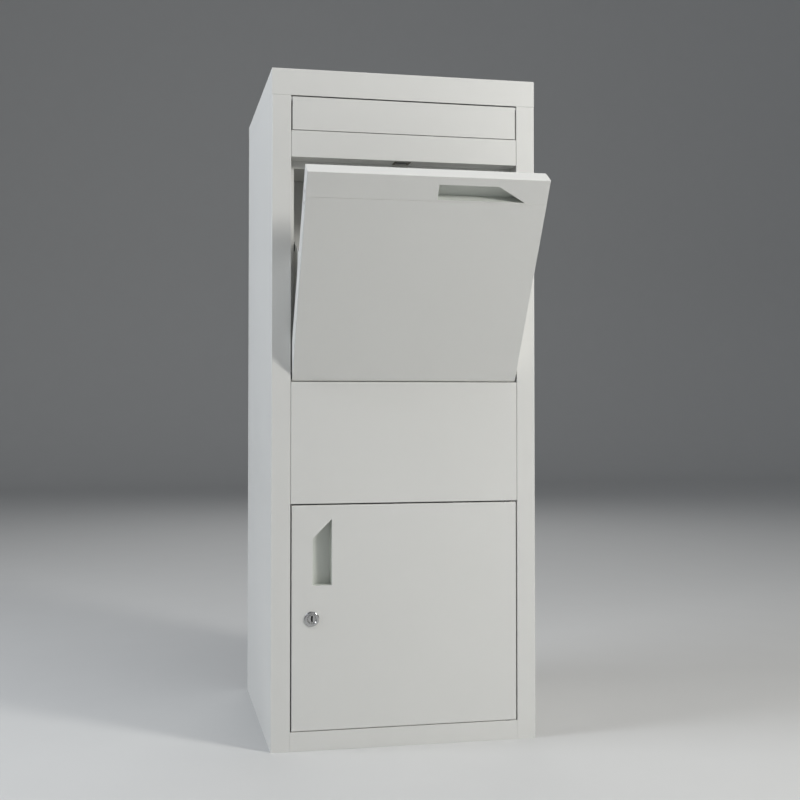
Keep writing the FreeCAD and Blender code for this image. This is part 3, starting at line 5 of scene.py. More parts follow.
import bmesh
import bpy
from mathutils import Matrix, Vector


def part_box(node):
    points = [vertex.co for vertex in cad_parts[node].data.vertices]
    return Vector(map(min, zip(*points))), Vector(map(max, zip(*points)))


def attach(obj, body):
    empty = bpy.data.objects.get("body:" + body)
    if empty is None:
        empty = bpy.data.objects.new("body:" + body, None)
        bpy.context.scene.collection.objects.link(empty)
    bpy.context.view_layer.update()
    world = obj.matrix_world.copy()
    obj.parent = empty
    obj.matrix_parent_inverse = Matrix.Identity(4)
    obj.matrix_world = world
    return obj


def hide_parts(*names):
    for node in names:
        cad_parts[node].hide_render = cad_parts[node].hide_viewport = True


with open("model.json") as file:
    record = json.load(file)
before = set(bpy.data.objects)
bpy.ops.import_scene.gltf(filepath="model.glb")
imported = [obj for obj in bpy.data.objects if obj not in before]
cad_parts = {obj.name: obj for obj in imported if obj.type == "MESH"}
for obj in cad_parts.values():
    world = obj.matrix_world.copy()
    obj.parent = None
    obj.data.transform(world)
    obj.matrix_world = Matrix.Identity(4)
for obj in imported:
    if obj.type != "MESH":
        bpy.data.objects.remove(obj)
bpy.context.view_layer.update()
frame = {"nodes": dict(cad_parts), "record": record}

bl_info = {
    "name": "Parcel Drop Box Looks",
    "version": (1, 0, 0),
    "blender": (4, 5, 0),
    "location": "View3D > Sidebar > Drop Box",
    "description": "Finishes, turned fittings, studio and camera of a steel parcel drop box",
    "category": "Object",
}

# The CAD model's joints, read before any piece is added.
JOINTS = {joint["name"]: joint for joint in frame["record"]["behaviour"]["joints"]}

# Lengths are in metres, apart from the camera's lens and sensor, which are in millimetres.
MM = 0.001

# Frame nodes that keep their own shape, grouped by the finish they get.
COATED_NODES = (
    "left_side_panel", "right_side_panel", "back_panel", "floor_pan", "bottom_rail",
    "middle_panel", "cross_strip", "roof_cap", "letter_flap", "drawer_front",
    "drawer_handle_strip", "left_cheek", "right_cheek", "hopper_tray", "door_front")
INNER_NODES = ("letter_ramp", "rear_baffle", "door_stiffener")
RECESS_NODES = ("drawer_hand_recess", "door_hand_recess")
ZINC_NODES = ("catch_pole_plates", "flap_hinge_rod", "flap_rod_caps", "flap_spring",
              "lock_cam")
ACETAL_NODES = ("drawer_pivot_bushes", "door_hinge_bushes")

# Finishes. Inside the cabinet the coat is darker, as painted shade, and rougher; in the
# recesses it is rougher.
INNER_PAINTED_SHADE = 0.94
INNER_ROUGHER = 0.06
RECESS_ROUGHER = 0.04
ACETAL_ROUGHNESS = 0.42
HOUSING_ROUGHNESS = 0.45
RUBBER_DUST = (0.09, 0.088, 0.085)

# The cam lock. The bezel is the wide front of the barrel, and seats on the door's sheet.
# The slot's walls get a dark material as painted shade, from a start behind the plug's face to
# a share of its depth.
BEZEL_LEDGE = 1.7 * MM
DOOR_SHEET = 1.2 * MM
DISH_SLOPE = 0.5 * MM
BARREL_CHAMFER = 0.5 * MM
THREAD_START = 1.6 * MM
THREAD_PLAIN_ENDS = 2.4 * MM
PLUG_CLEARANCE = 0.06 * MM
PLUG_FACE_EDGE = 1.1 * MM
PLUG_GROOVE_INNER = 0.9 * MM
PLUG_GROOVE_OUTER = 0.5 * MM
PLUG_GROOVE_DEPTH = 0.25 * MM
PLUG_SHOULDER_DEPTH = 0.6 * MM
PLUG_TAIL_WIDTH = 8 * MM
PLUG_TAIL_LENGTH = 3.8 * MM
KEY_SLOT_CHAMFER = 0.35 * MM
SLOT_PAINTED_SHADE_START = 0.30 * MM
SLOT_PAINTED_SHADE_REACH = 1.01
NUT_FLATS = 22.6 * MM
NUT_CORNER_RADIUS = 13.2 * MM
NUT_CHAMFER_WIDTH = 0.3 * MM
NUT_CHAMFER_DEPTH = 0.8 * MM
CAM_BOLT_SOCKET = 5 * MM

# Turned profiles are pairs of (share of the length, share of the radius).
# Heads of screws and bolts, from the seat upwards.
BUTTON_PROFILE = ((0.12, 1.0), (0.45, 1.0), (0.75, 0.93), (0.93, 0.80))
BUTTON_TOP = 0.66
BUTTON_SEAT_RELIEF = 0.2 * MM
SOCKET_CHAMFER = 0.15 * MM
SOCKET_FLOOR = 0.35

# Rivets: the bulbed tail, the dome from its seat upwards, and the mandrel's hole downwards.
RIVET_RISE = 0.9 * MM
RIVET_TAIL = ((0.0, 0.45), (0.12, 0.85), (0.3, 1.0))
RIVET_DOME = ((0.25, 1.0), (0.55, 0.90), (0.85, 0.66))
MANDREL_HOLE = ((0.0, 0.85), (0.0, 0.62), (0.6, 0.55), (0.5, 0.15))
RIVET_SEAT_RELIEF = 0.1 * MM
DRAWER_RIVET_SHANK = 1.6 * MM
BACK_RIVET_SHANK = 2.0 * MM

# Screws. A tip tapers over its own length to the radius of the shank.
CAP_SCREW_TIP = 1.4 * MM
CAP_SCREW_TAPER = 0.6 * MM
CAP_SCREW_SHANK = 1.9 * MM
CAP_SCREW_SOCKET = 2.5 * MM
CATCH_SCREW_TIP = 0.9 * MM
CATCH_SCREW_TAPER = 0.5 * MM
CATCH_SCREW_SHANK = 1.45 * MM
CATCH_SCREW_HEAD = 1.8 * MM
CATCH_SCREW_SOCKET = 1.8 * MM

# Pivot pins.
PIN_RADIUS = 3 * MM
PIN_TIP_CHAMFER = 0.5 * MM
PIN_HEAD_RELIEF = 0.2 * MM
PIN_HEAD_CHAMFER = 0.4 * MM
DRAWER_PIN_HEAD = 3 * MM
DOOR_PIN_HEAD = 2.5 * MM

# Rubber buffers: how much narrower than the whole buffer its waist and its face are, and
# where its sections lie between the face and the back, as shares of its depth.
BUFFER_CORNER = 1.6 * MM
BUFFER_FACE_CORNER = 1.2 * MM
BUFFER_WAIST_LESS = 1.0 * MM
BUFFER_FACE_LESS = 2.4 * MM
BUFFER_SECTIONS = ((0.12, "waist"), (0.35, "full"), (0.60, "full"), (0.70, "waist"),
                   (0.80, "full"))

# The studio. A lamp is (name, place, diameter, power in watts, colour).
LAMPS = (("key", (1.62, -1.80, 1.50), 0.5, 34.5, (1.0, 0.985, 0.95)),
         ("top_softbox", (0.5, -1.0, 2.8), 1.6, 14.5, (1.0, 0.99, 0.97)),
         ("left_fill", (-2.2, -0.3, 1.9), 1.2, 40.0, (0.90, 0.94, 1.0)),
         ("rear_fill", (0.6, 3.0, 2.6), 2.0, 20.0, (1.0, 1.0, 1.0)))
LAMP_TARGET = (0.0, 0.0, 0.5)
SKY_COLOUR = (0.86, 0.90, 0.96, 1.0)
SKY_STRENGTH = 0.21
SWEEP_RADIUS = 1.6
SWEEP_STEPS = 12
SENSOR_WIDTH = 36.0
VIEW_REACH = 60.0

# Meshes.
ROUND_SIDES = 96
ROUNDING_STEPS = 6
SHARP_EDGE = math.radians(32)
WELD_DISTANCE = 0.002 * MM
NEARLY_ZERO = 1e-9


# ---------------------------------------------------------------- shader maths

class Wire:
    """One number in a shader. Arithmetic on it adds Math nodes."""

    def __init__(self, finish, socket):
        self.finish = finish
        self.socket = socket

    def _maths(self, operation, first, second):
        node = self.finish.node("ShaderNodeMath", {"operation": operation},
                                {0: first, 1: second})
        return Wire(self.finish, node.outputs[0])

    def __add__(self, other):
        return self._maths("ADD", self, other)

    def __radd__(self, other):
        return self._maths("ADD", other, self)

    def __sub__(self, other):
        return self._maths("SUBTRACT", self, other)

    def __rsub__(self, other):
        return self._maths("SUBTRACT", other, self)

    def __mul__(self, other):
        return self._maths("MULTIPLY", self, other)

    def __rmul__(self, other):
        return self._maths("MULTIPLY", other, self)

    def __pow__(self, other):
        return self._maths("POWER", self, other)


class Finish:
    """A node-based material under construction."""

    def __init__(self, name):
        self.material = bpy.data.materials.new(name)
        self.material.use_nodes = True
        self.tree = self.material.node_tree
        self.shader = self.tree.nodes["Principled BSDF"]
        self.place = self.node("ShaderNodeTexCoord", {}, {}).outputs["Object"]

    def node(self, kind, settings, inputs):
        """Adds a node, sets its settings, then fills its sockets with values or links."""
        made = self.tree.nodes.new(kind)
        for key, value in settings.items():
            setattr(made, key, value)
        for key, value in inputs.items():
            self.fill(made.inputs[key], value)
        return made

    def fill(self, socket, value):
        """Links a socket to a wire or another socket, or sets its number or colour."""
        if isinstance(value, Wire):
            value = value.socket
        if isinstance(value, bpy.types.NodeSocket):
            self.tree.links.new(value, socket)
        else:
            socket.default_value = value

    def set(self, **sockets):
        """Fills the shader's sockets, named with underscores for spaces."""
        for key, value in sockets.items():
            self.fill(self.shader.inputs[key.replace("_", " ")], value)

    def noise(self, scale, detail=3.0, roughness=0.5, stretch=None):
        """Noise from 0 to 1 with about scale features to the metre."""
        place = self.place
        if stretch:
            place = self.node("ShaderNodeMapping", {},
                              {"Vector": place, "Scale": stretch}).outputs[0]
        made = self.node("ShaderNodeTexNoise", {},
                         {"Vector": place, "Scale": scale, "Detail": detail,
                          "Roughness": roughness})
        return Wire(self, made.outputs["Fac"])

    def grains(self, scale):
        """Distance from the nearest of many scattered points."""
        made = self.node("ShaderNodeTexVoronoi", {"feature": "F1"},
                         {"Vector": self.place, "Scale": scale})
        return Wire(self, made.outputs["Distance"])

    def blend(self, amount, low, high):
        """A colour between low and high."""
        made = self.node("ShaderNodeMix", {"data_type": "RGBA"},
                         {"Factor": amount, 6: low, 7: high})
        return made.outputs[2]

    def bump(self, height, strength, distance, softened=0.0):
        """A bumped normal, with the hard edges softened over a radius in metres."""
        inputs = {"Height": height, "Strength": strength, "Distance": distance}
        if softened:
            soft = self.node("ShaderNodeBevel", {"samples": 6}, {"Radius": softened})
            inputs["Normal"] = soft.outputs["Normal"]
        return self.node("ShaderNodeBump", {}, inputs).outputs["Normal"]


def solid(colour):
    """The colour with full opacity."""
    return (colour[0], colour[1], colour[2], 1.0)


def shaded(colour, amount):
    """The colour made darker or lighter, with full opacity."""
    return tuple(part * amount for part in colour[:3]) + (1.0,)


def powder_coat(name, colour, gloss):
    """Baked powder paint: a fine pebbled skin over the sheet."""
    finish = Finish(name)
    pebbles = finish.grains(1100.0)
    swell = finish.noise(160.0, detail=2.0)
    cloud = finish.noise(6.0, detail=4.0)
    dust = finish.noise(45.0, detail=6.0, roughness=0.65)
    tone = finish.blend(cloud * 0.7 + dust * 0.3, shaded(colour, 0.965), solid(colour))
    skin = finish.bump(pebbles * 0.6 + swell * 0.4, strength=0.35, distance=0.06 * MM,
                       softened=0.5 * MM)
    finish.set(Base_Color=tone, Roughness=gloss + 0.10 * cloud + 0.06 * dust,
               Specular_IOR_Level=0.45, Normal=skin)
    return finish.material


def zinc_plate(name, colour):
    """Bright zinc: faint streaks and a slightly cloudy shine."""
    finish = Finish(name)
    cloud = finish.noise(180.0, detail=5.0)
    streak = finish.noise(900.0, detail=2.0, stretch=(1.0, 0.06, 1.0))
    tone = finish.blend(cloud, shaded(colour, 0.86), solid(colour))
    skin = finish.bump(streak, strength=0.15, distance=0.02 * MM, softened=0.15 * MM)
    finish.set(Base_Color=tone, Metallic=1.0, Roughness=0.24 + 0.16 * cloud + 0.06 * streak,
               Normal=skin)
    return finish.material


def chrome_plate(name, colour):
    """Polished chrome with hair-fine scratches from keys and fingers."""
    finish = Finish(name)
    scratch = finish.noise(2600.0, detail=2.0, stretch=(1.0, 1.0, 0.12))
    haze = finish.noise(240.0, detail=5.0)
    tone = finish.blend(haze, shaded(colour, 0.93), solid(colour))
    skin = finish.bump(scratch, strength=0.08, distance=0.01 * MM)
    finish.set(Base_Color=tone, Metallic=1.0, Roughness=0.07 + 0.10 * haze + 0.05 * scratch,
               Normal=skin)
    return finish.material


def moulded(name, colour, gloss):
    """Moulded plastic with a faint spark-eroded grain."""
    finish = Finish(name)
    grain = finish.noise(1500.0, detail=4.0)
    cloud = finish.noise(90.0, detail=3.0)
    tone = finish.blend(cloud, shaded(colour, 0.90), solid(colour))
    skin = finish.bump(grain, strength=0.25, distance=0.05 * MM, softened=0.2 * MM)
    finish.set(Base_Color=tone, Roughness=gloss + 0.12 * grain, Normal=skin)
    return finish.material


def soft_rubber(name, colour):
    """Matt rubber with a film of dust that lightens it in patches."""
    finish = Finish(name)
    dust = finish.noise(320.0, detail=6.0, roughness=0.7)
    grain = finish.noise(2200.0, detail=3.0)
    tone = finish.blend(dust ** 2.0, solid(colour), solid(RUBBER_DUST))
    skin = finish.bump(grain, strength=0.4, distance=0.08 * MM, softened=0.2 * MM)
    finish.set(Base_Color=tone, Roughness=0.72 + 0.18 * dust, Normal=skin)
    return finish.material


def ferrite_and_slot_shade(name, colour):
    """Pressed ferrite: dull, grainy and nearly black. The lock's key slot also takes it, as
    painted shade on its walls.
    """
    finish = Finish(name)
    grain = finish.noise(1800.0, detail=6.0, roughness=0.7)
    tone = finish.blend(grain, shaded(colour, 0.6), shaded(colour, 1.5))
    skin = finish.bump(grain, strength=0.5, distance=0.08 * MM)
    finish.set(Base_Color=tone, Roughness=0.55 + 0.25 * grain, Normal=skin)
    return finish.material


def studio_floor(name, colour):
    """Pale floor paper with a barely visible mottle."""
    finish = Finish(name)
    mottle = finish.noise(9.0, detail=6.0)
    grain = finish.noise(420.0, detail=3.0)
    tone = finish.blend(mottle, shaded(colour, 0.97), solid(colour))
    skin = finish.bump(grain, strength=0.15, distance=0.1 * MM)
    finish.set(Base_Color=tone, Roughness=0.75 + 0.1 * grain, Normal=skin)
    return finish.material


def coat_node(node, material):
    """Gives every material slot of a frame node the finish."""
    mesh = frame["nodes"][node].data
    mesh.materials.clear()
    mesh.materials.append(material)


# ---------------------------------------------------------------- turned and lofted pieces

# An edge is a function from an angle to the distance between a section's centre and its rim.

def circle(radius):
    """A round edge."""
    return lambda angle: radius


def grown(edge, amount):
    """An edge moved outwards by an amount."""
    return lambda angle: edge(angle) + amount


def hexagon(across_flats, corner_radius):
    """A hexagon's edge, with its corners cut back to corner_radius."""
    def edge(angle):
        turn = (angle % (math.pi / 3)) - math.pi / 6
        return min(across_flats / 2 / math.cos(turn), corner_radius)
    return edge


def rectangle(width, height):
    """A rectangle's edge, with its width at angle zero."""
    def edge(angle):
        across = max(abs(math.cos(angle)), NEARLY_ZERO)
        along = max(abs(math.sin(angle)), NEARLY_ZERO)
        return min(width / 2 / across, height / 2 / along)
    return edge


def rounded_rectangle(width, height, corner):
    """A rectangle's edge with rounded corners."""
    def edge(angle):
        sharp = rectangle(width, height)(angle)
        x = abs(sharp * math.cos(angle))
        y = abs(sharp * math.sin(angle))
        centre_x = width / 2 - corner
        centre_y = height / 2 - corner
        if x <= centre_x or y <= centre_y:
            return sharp
        forward = centre_x * abs(math.cos(angle)) + centre_y * abs(math.sin(angle))
        rest = centre_x ** 2 + centre_y ** 2 - corner ** 2
        return forward + math.sqrt(max(forward ** 2 - rest, 0.0))
    return edge


def quarter_round(start, end):
    """Rings that round off the edge between two stations of (distance, radius)."""
    rings = []
    for step in range(1, ROUNDING_STEPS):
        turn = math.pi / 2 * step / ROUNDING_STEPS
        along = start[0] + (end[0] - start[0]) * (1 - math.cos(turn))
        radius = start[1] + (end[1] - start[1]) * math.sin(turn)
        rings.append((along, circle(radius)))
    return rings


def loft(mesh, axis, centre, rings):
    """Adds a closed skin through rings of (distance along the axis, edge) to mesh."""
    directions = {"X": (Vector((0, 1, 0)), Vector((0, 0, 1)), Vector((1, 0, 0))),
                  "Y": (Vector((0, 0, 1)), Vector((1, 0, 0)), Vector((0, 1, 0))),
                  "Z": (Vector((1, 0, 0)), Vector((0, 1, 0)), Vector((0, 0, 1)))}
    across, up, along = directions[axis]
    loops = []
    for distance, edge in rings:
        loop = []
        for side in range(ROUND_SIDES):
            angle = 2 * math.pi * side / ROUND_SIDES
            reach = edge(angle)
            point = centre + along * distance
            point += across * (reach * math.cos(angle)) + up * (reach * math.sin(angle))
            loop.append(mesh.verts.new(point))
        loops.append(loop)
    for first, second in zip(loops, loops[1:]):
        for side in range(ROUND_SIDES):
            after = (side + 1) % ROUND_SIDES
            mesh.faces.new((first[side], first[after], second[after], second[side]))
    mesh.faces.new(list(reversed(loops[0])))
    mesh.faces.new(loops[-1])


def open_loft(mesh, axis, centre, rings):
    """A loft whose last ring meets its first, for a piece with a hole through it."""
    loft(mesh, axis, centre, rings)
    caps = [face for face in mesh.faces if len(face.verts) == ROUND_SIDES]
    bmesh.ops.delete(mesh, geom=caps, context="FACES_ONLY")
    rims = [edge for edge in mesh.edges if len(edge.link_faces) == 1]
    bmesh.ops.bridge_loops(mesh, edges=rims)


def finish_mesh(mesh, name, body, materials, instead_of):
    """Turns the bmesh into a named piece that rides on a body in place of frame nodes."""
    bmesh.ops.recalc_face_normals(mesh, faces=mesh.faces)
    for face in mesh.faces:
        face.smooth = True
    for edge in mesh.edges:
        if len(edge.link_faces) == 2 and edge.calc_face_angle(0) > SHARP_EDGE:
            edge.smooth = False
    data = bpy.data.meshes.new(name)
    mesh.to_mesh(data)
    mesh.free()
    piece = bpy.data.objects.new(name, data)
    bpy.context.scene.collection.objects.link(piece)
    for material in materials:
        data.materials.append(material)
    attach(piece, body)
    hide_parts(*instead_of)


def solids_of(node):
    """The low and high corners of each separate solid in a frame node."""
    mesh = bmesh.new()
    mesh.from_mesh(frame["nodes"][node].data)
    bmesh.ops.remove_doubles(mesh, verts=mesh.verts, dist=WELD_DISTANCE)
    unseen = set(mesh.verts)
    found = []
    while unseen:
        waiting = [unseen.pop()]
        members = []
        while waiting:
            vertex = waiting.pop()
            members.append(vertex.co.copy())
            for edge in vertex.link_edges:
                other = edge.other_vert(vertex)
                if other in unseen:
                    unseen.remove(other)
                    waiting.append(other)
        low = Vector([min(place[i] for place in members) for i in range(3)])
        high = Vector([max(place[i] for place in members) for i in range(3)])
        found.append((low, high))
    mesh.free()
    return sorted(found, key=lambda corners: tuple(corners[0]))


def ends_along_x(low, high):
    """The inner end and the outer end of a fitting through a side, and the way out."""
    if low.x > 0:
        return low.x, high.x, 1
    return high.x, low.x, -1


def profile_rings(start, length, radius, profile):
    """Rings along a turned profile, from its start over its length."""
    return [(start + share * length, circle(radius * width)) for share, width in profile]


def socket_head(seat, top, radius, socket):
    """Rings of a button head with a hexagon socket, from its seat to its top."""
    rise = top - seat
    way = 1 if rise > 0 else -1
    hole = hexagon(socket, radius)
    rings = [(seat, circle(radius - BUTTON_SEAT_RELIEF))]
    rings += profile_rings(seat, rise, radius, BUTTON_PROFILE)
    rings += [(top, circle(radius * BUTTON_TOP)), (top, grown(hole, SOCKET_CHAMFER)),
              (top - way * SOCKET_CHAMFER, hole), (seat + SOCKET_FLOOR * rise, hole)]
    return rings


def screw_shank(tip, seat, tip_radius, taper, radius):
    """Rings of a screw's shank, from its tapered tip to the seat of its head."""
    return [(tip, circle(tip_radius)), (tip + taper, circle(radius)), (seat, circle(radius))]


def rivet(tail, head, way, radius, shank):
    """Rings of a bulbed tail, shank, domed head and the hole that the mandrel leaves."""
    rise = way * RIVET_RISE
    seat = head - rise
    grip = seat - tail
    rings = profile_rings(tail, grip, shank, RIVET_TAIL)
    rings += [(seat, circle(shank)), (seat, circle(radius - RIVET_SEAT_RELIEF))]
    rings += profile_rings(seat, rise, radius, RIVET_DOME)
    rings += profile_rings(head, -rise, shank, MANDREL_HOLE)
    return rings


def headed_pin(tip, head, thickness, head_radius):
    """Rings of a pin with a chamfered tip and a chamfered flat head."""
    way = 1 if head > tip else -1
    seat = head - way * thickness
    return [(tip, circle(PIN_RADIUS - PIN_TIP_CHAMFER)),
            (tip + way * PIN_TIP_CHAMFER, circle(PIN_RADIUS)), (seat, circle(PIN_RADIUS)),
            (seat, circle(head_radius - PIN_HEAD_RELIEF)),
            (seat + way * PIN_HEAD_RELIEF, circle(head_radius)),
            (head - way * PIN_HEAD_CHAMFER, circle(head_radius)),
            (head, circle(head_radius - PIN_HEAD_CHAMFER))]


# ---------------------------------------------------------------- settings

def colour_setting(name, description, default):
    """A colour that the panel shows as a swatch."""
    return bpy.props.FloatVectorProperty(name=name, description=description, subtype="COLOR",
                                         size=3, min=0.0, max=1.0, default=default)


def length_setting(name, description, default):
    """A length that the panel shows in the scene's unit."""
    return bpy.props.FloatProperty(name=name, description=description, default=default,
                                   subtype="DISTANCE", unit="LENGTH")


class DropBoxFinishes(bpy.types.PropertyGroup):
    """Colours of the drop box."""
    coat: colour_setting("Powder coat", "Off-white coat of the cabinet", (0.74, 0.74, 0.715))
    coat_gloss: bpy.props.FloatProperty(
        name="Coat roughness", description="Roughness of the powder coat", default=0.36,
        subtype="FACTOR", min=0.0, max=1.0)
    # This colour is painted shade: a darker, greener copy of the coat inside the hand recesses.
    recess: colour_setting("Hand recess", "Thinner coat inside the recesses",
                           (0.68, 0.70, 0.66))
    zinc: colour_setting("Zinc", "Zinc plate of pins and screws", (0.66, 0.67, 0.68))
    chrome: colour_setting("Chrome", "Chrome plate of the lock", (0.55, 0.55, 0.55))
    aluminium: colour_setting("Rivets", "Bare aluminium of the rivets", (0.84, 0.84, 0.84))
    acetal: colour_setting("Acetal", "Black acetal of the bushes", (0.03, 0.03, 0.032))
    rubber: colour_setting("Rubber", "Black rubber of the buffers", (0.025, 0.025, 0.026))
    housing: colour_setting("Catch housing", "Brown moulding of the catch",
                            (0.16, 0.14, 0.11))
    # The magnet's colour also paints the shade on the walls of the lock's key slot.
    magnet: colour_setting("Magnet", "Ferrite of the catch", (0.10, 0.10, 0.105))


class DropBoxLock(bpy.types.PropertyGroup):
    """Sizes of the cam lock's face."""
    rim_round: length_setting("Rim rounding", "Radius on the bezel's outer edge", 1.5 * MM)
    rim_width: length_setting("Rim width", "Flat rim of the bezel", 2.2 * MM)
    dish_depth: length_setting("Dish", "Depth of the dish around the plug", 0.5 * MM)
    key_width: length_setting("Key slot width", "Width of the key slot", 2.4 * MM)
    key_height: length_setting("Key slot height", "Height of the key slot", 8.4 * MM)
    key_depth: length_setting("Key slot depth", "Depth of the key slot", 12.0 * MM)
    thread_pitch: length_setting("Thread pitch", "Pitch of the barrel's thread", 1.0 * MM)
    thread_depth: length_setting("Thread depth", "Depth of the barrel's thread", 0.45 * MM)


class DropBoxStudio(bpy.types.PropertyGroup):
    """Camera, floor and lights."""
    camera_place: bpy.props.FloatVectorProperty(
        name="Camera place", description="Where the camera stands", size=3, subtype="XYZ",
        unit="LENGTH", default=(-0.3895, -2.0223, 0.5193))
    camera_turn: bpy.props.FloatProperty(
        name="Camera turn", description="Turn to the right from straight ahead",
        subtype="ANGLE", unit="ROTATION", default=math.radians(11.82))
    camera_rise: bpy.props.FloatProperty(
        name="Camera rise", description="Tilt above the horizon", subtype="ANGLE",
        unit="ROTATION", default=math.radians(1.48))
    camera_lens: bpy.props.FloatProperty(
        name="Lens", description="Focal length on a 36 mm sensor", default=54.92)
    camera_shift: bpy.props.FloatProperty(
        name="Shift", description="Vertical shift of the view", default=-0.0375)
    floor: colour_setting("Floor", "Pale studio floor", (0.60, 0.60, 0.59))
    floor_span: length_setting("Floor span", "Width of the floor and backdrop", 14.0)


# The materials by a short name. MakeFinishes fills it.
FINISHES = {}


# ---------------------------------------------------------------- operators

class MakeFinishes(bpy.types.Operator):
    """Make every material and put it on the frame's nodes"""
    bl_idname = "drop_box.make_finishes"
    bl_label = "Finishes"

    def execute(self, context):
        colours = context.scene.drop_box_finishes
        gloss = colours.coat_gloss
        FINISHES["coat"] = powder_coat("powder_coat", colours.coat, gloss)
        # Inside the cabinet the coat is a darker copy, as painted shade, and rougher.
        FINISHES["inner"] = powder_coat("powder_coat_inside_painted_shade",
                                        shaded(colours.coat, INNER_PAINTED_SHADE),
                                        gloss + INNER_ROUGHER)
        # The recess coat is darker and greener, as painted shade, and rougher.
        FINISHES["recess"] = powder_coat("powder_coat_recess_painted_shade", colours.recess,
                                         gloss + RECESS_ROUGHER)
        FINISHES["zinc"] = zinc_plate("zinc_plate", colours.zinc)
        FINISHES["rivet"] = zinc_plate("bare_aluminium", colours.aluminium)
        FINISHES["chrome"] = chrome_plate("chrome_plate", colours.chrome)
        FINISHES["acetal"] = moulded("black_acetal", colours.acetal, ACETAL_ROUGHNESS)
        FINISHES["housing"] = moulded("brown_moulding", colours.housing, HOUSING_ROUGHNESS)
        FINISHES["rubber"] = soft_rubber("black_rubber", colours.rubber)
        # The ferrite finish is also the painted shade on the walls of the lock's key slot.
        FINISHES["magnet"] = ferrite_and_slot_shade("ferrite_and_slot_shade", colours.magnet)
        plan = ((COATED_NODES, "coat"), (INNER_NODES, "inner"), (RECESS_NODES, "recess"),
                (ZINC_NODES, "zinc"), (ACETAL_NODES, "acetal"), (("catch_housing",), "housing"),
                (("catch_magnet",), "magnet"))
        for nodes, finish in plan:
            for node in nodes:
                coat_node(node, FINISHES[finish])
        return {"FINISHED"}


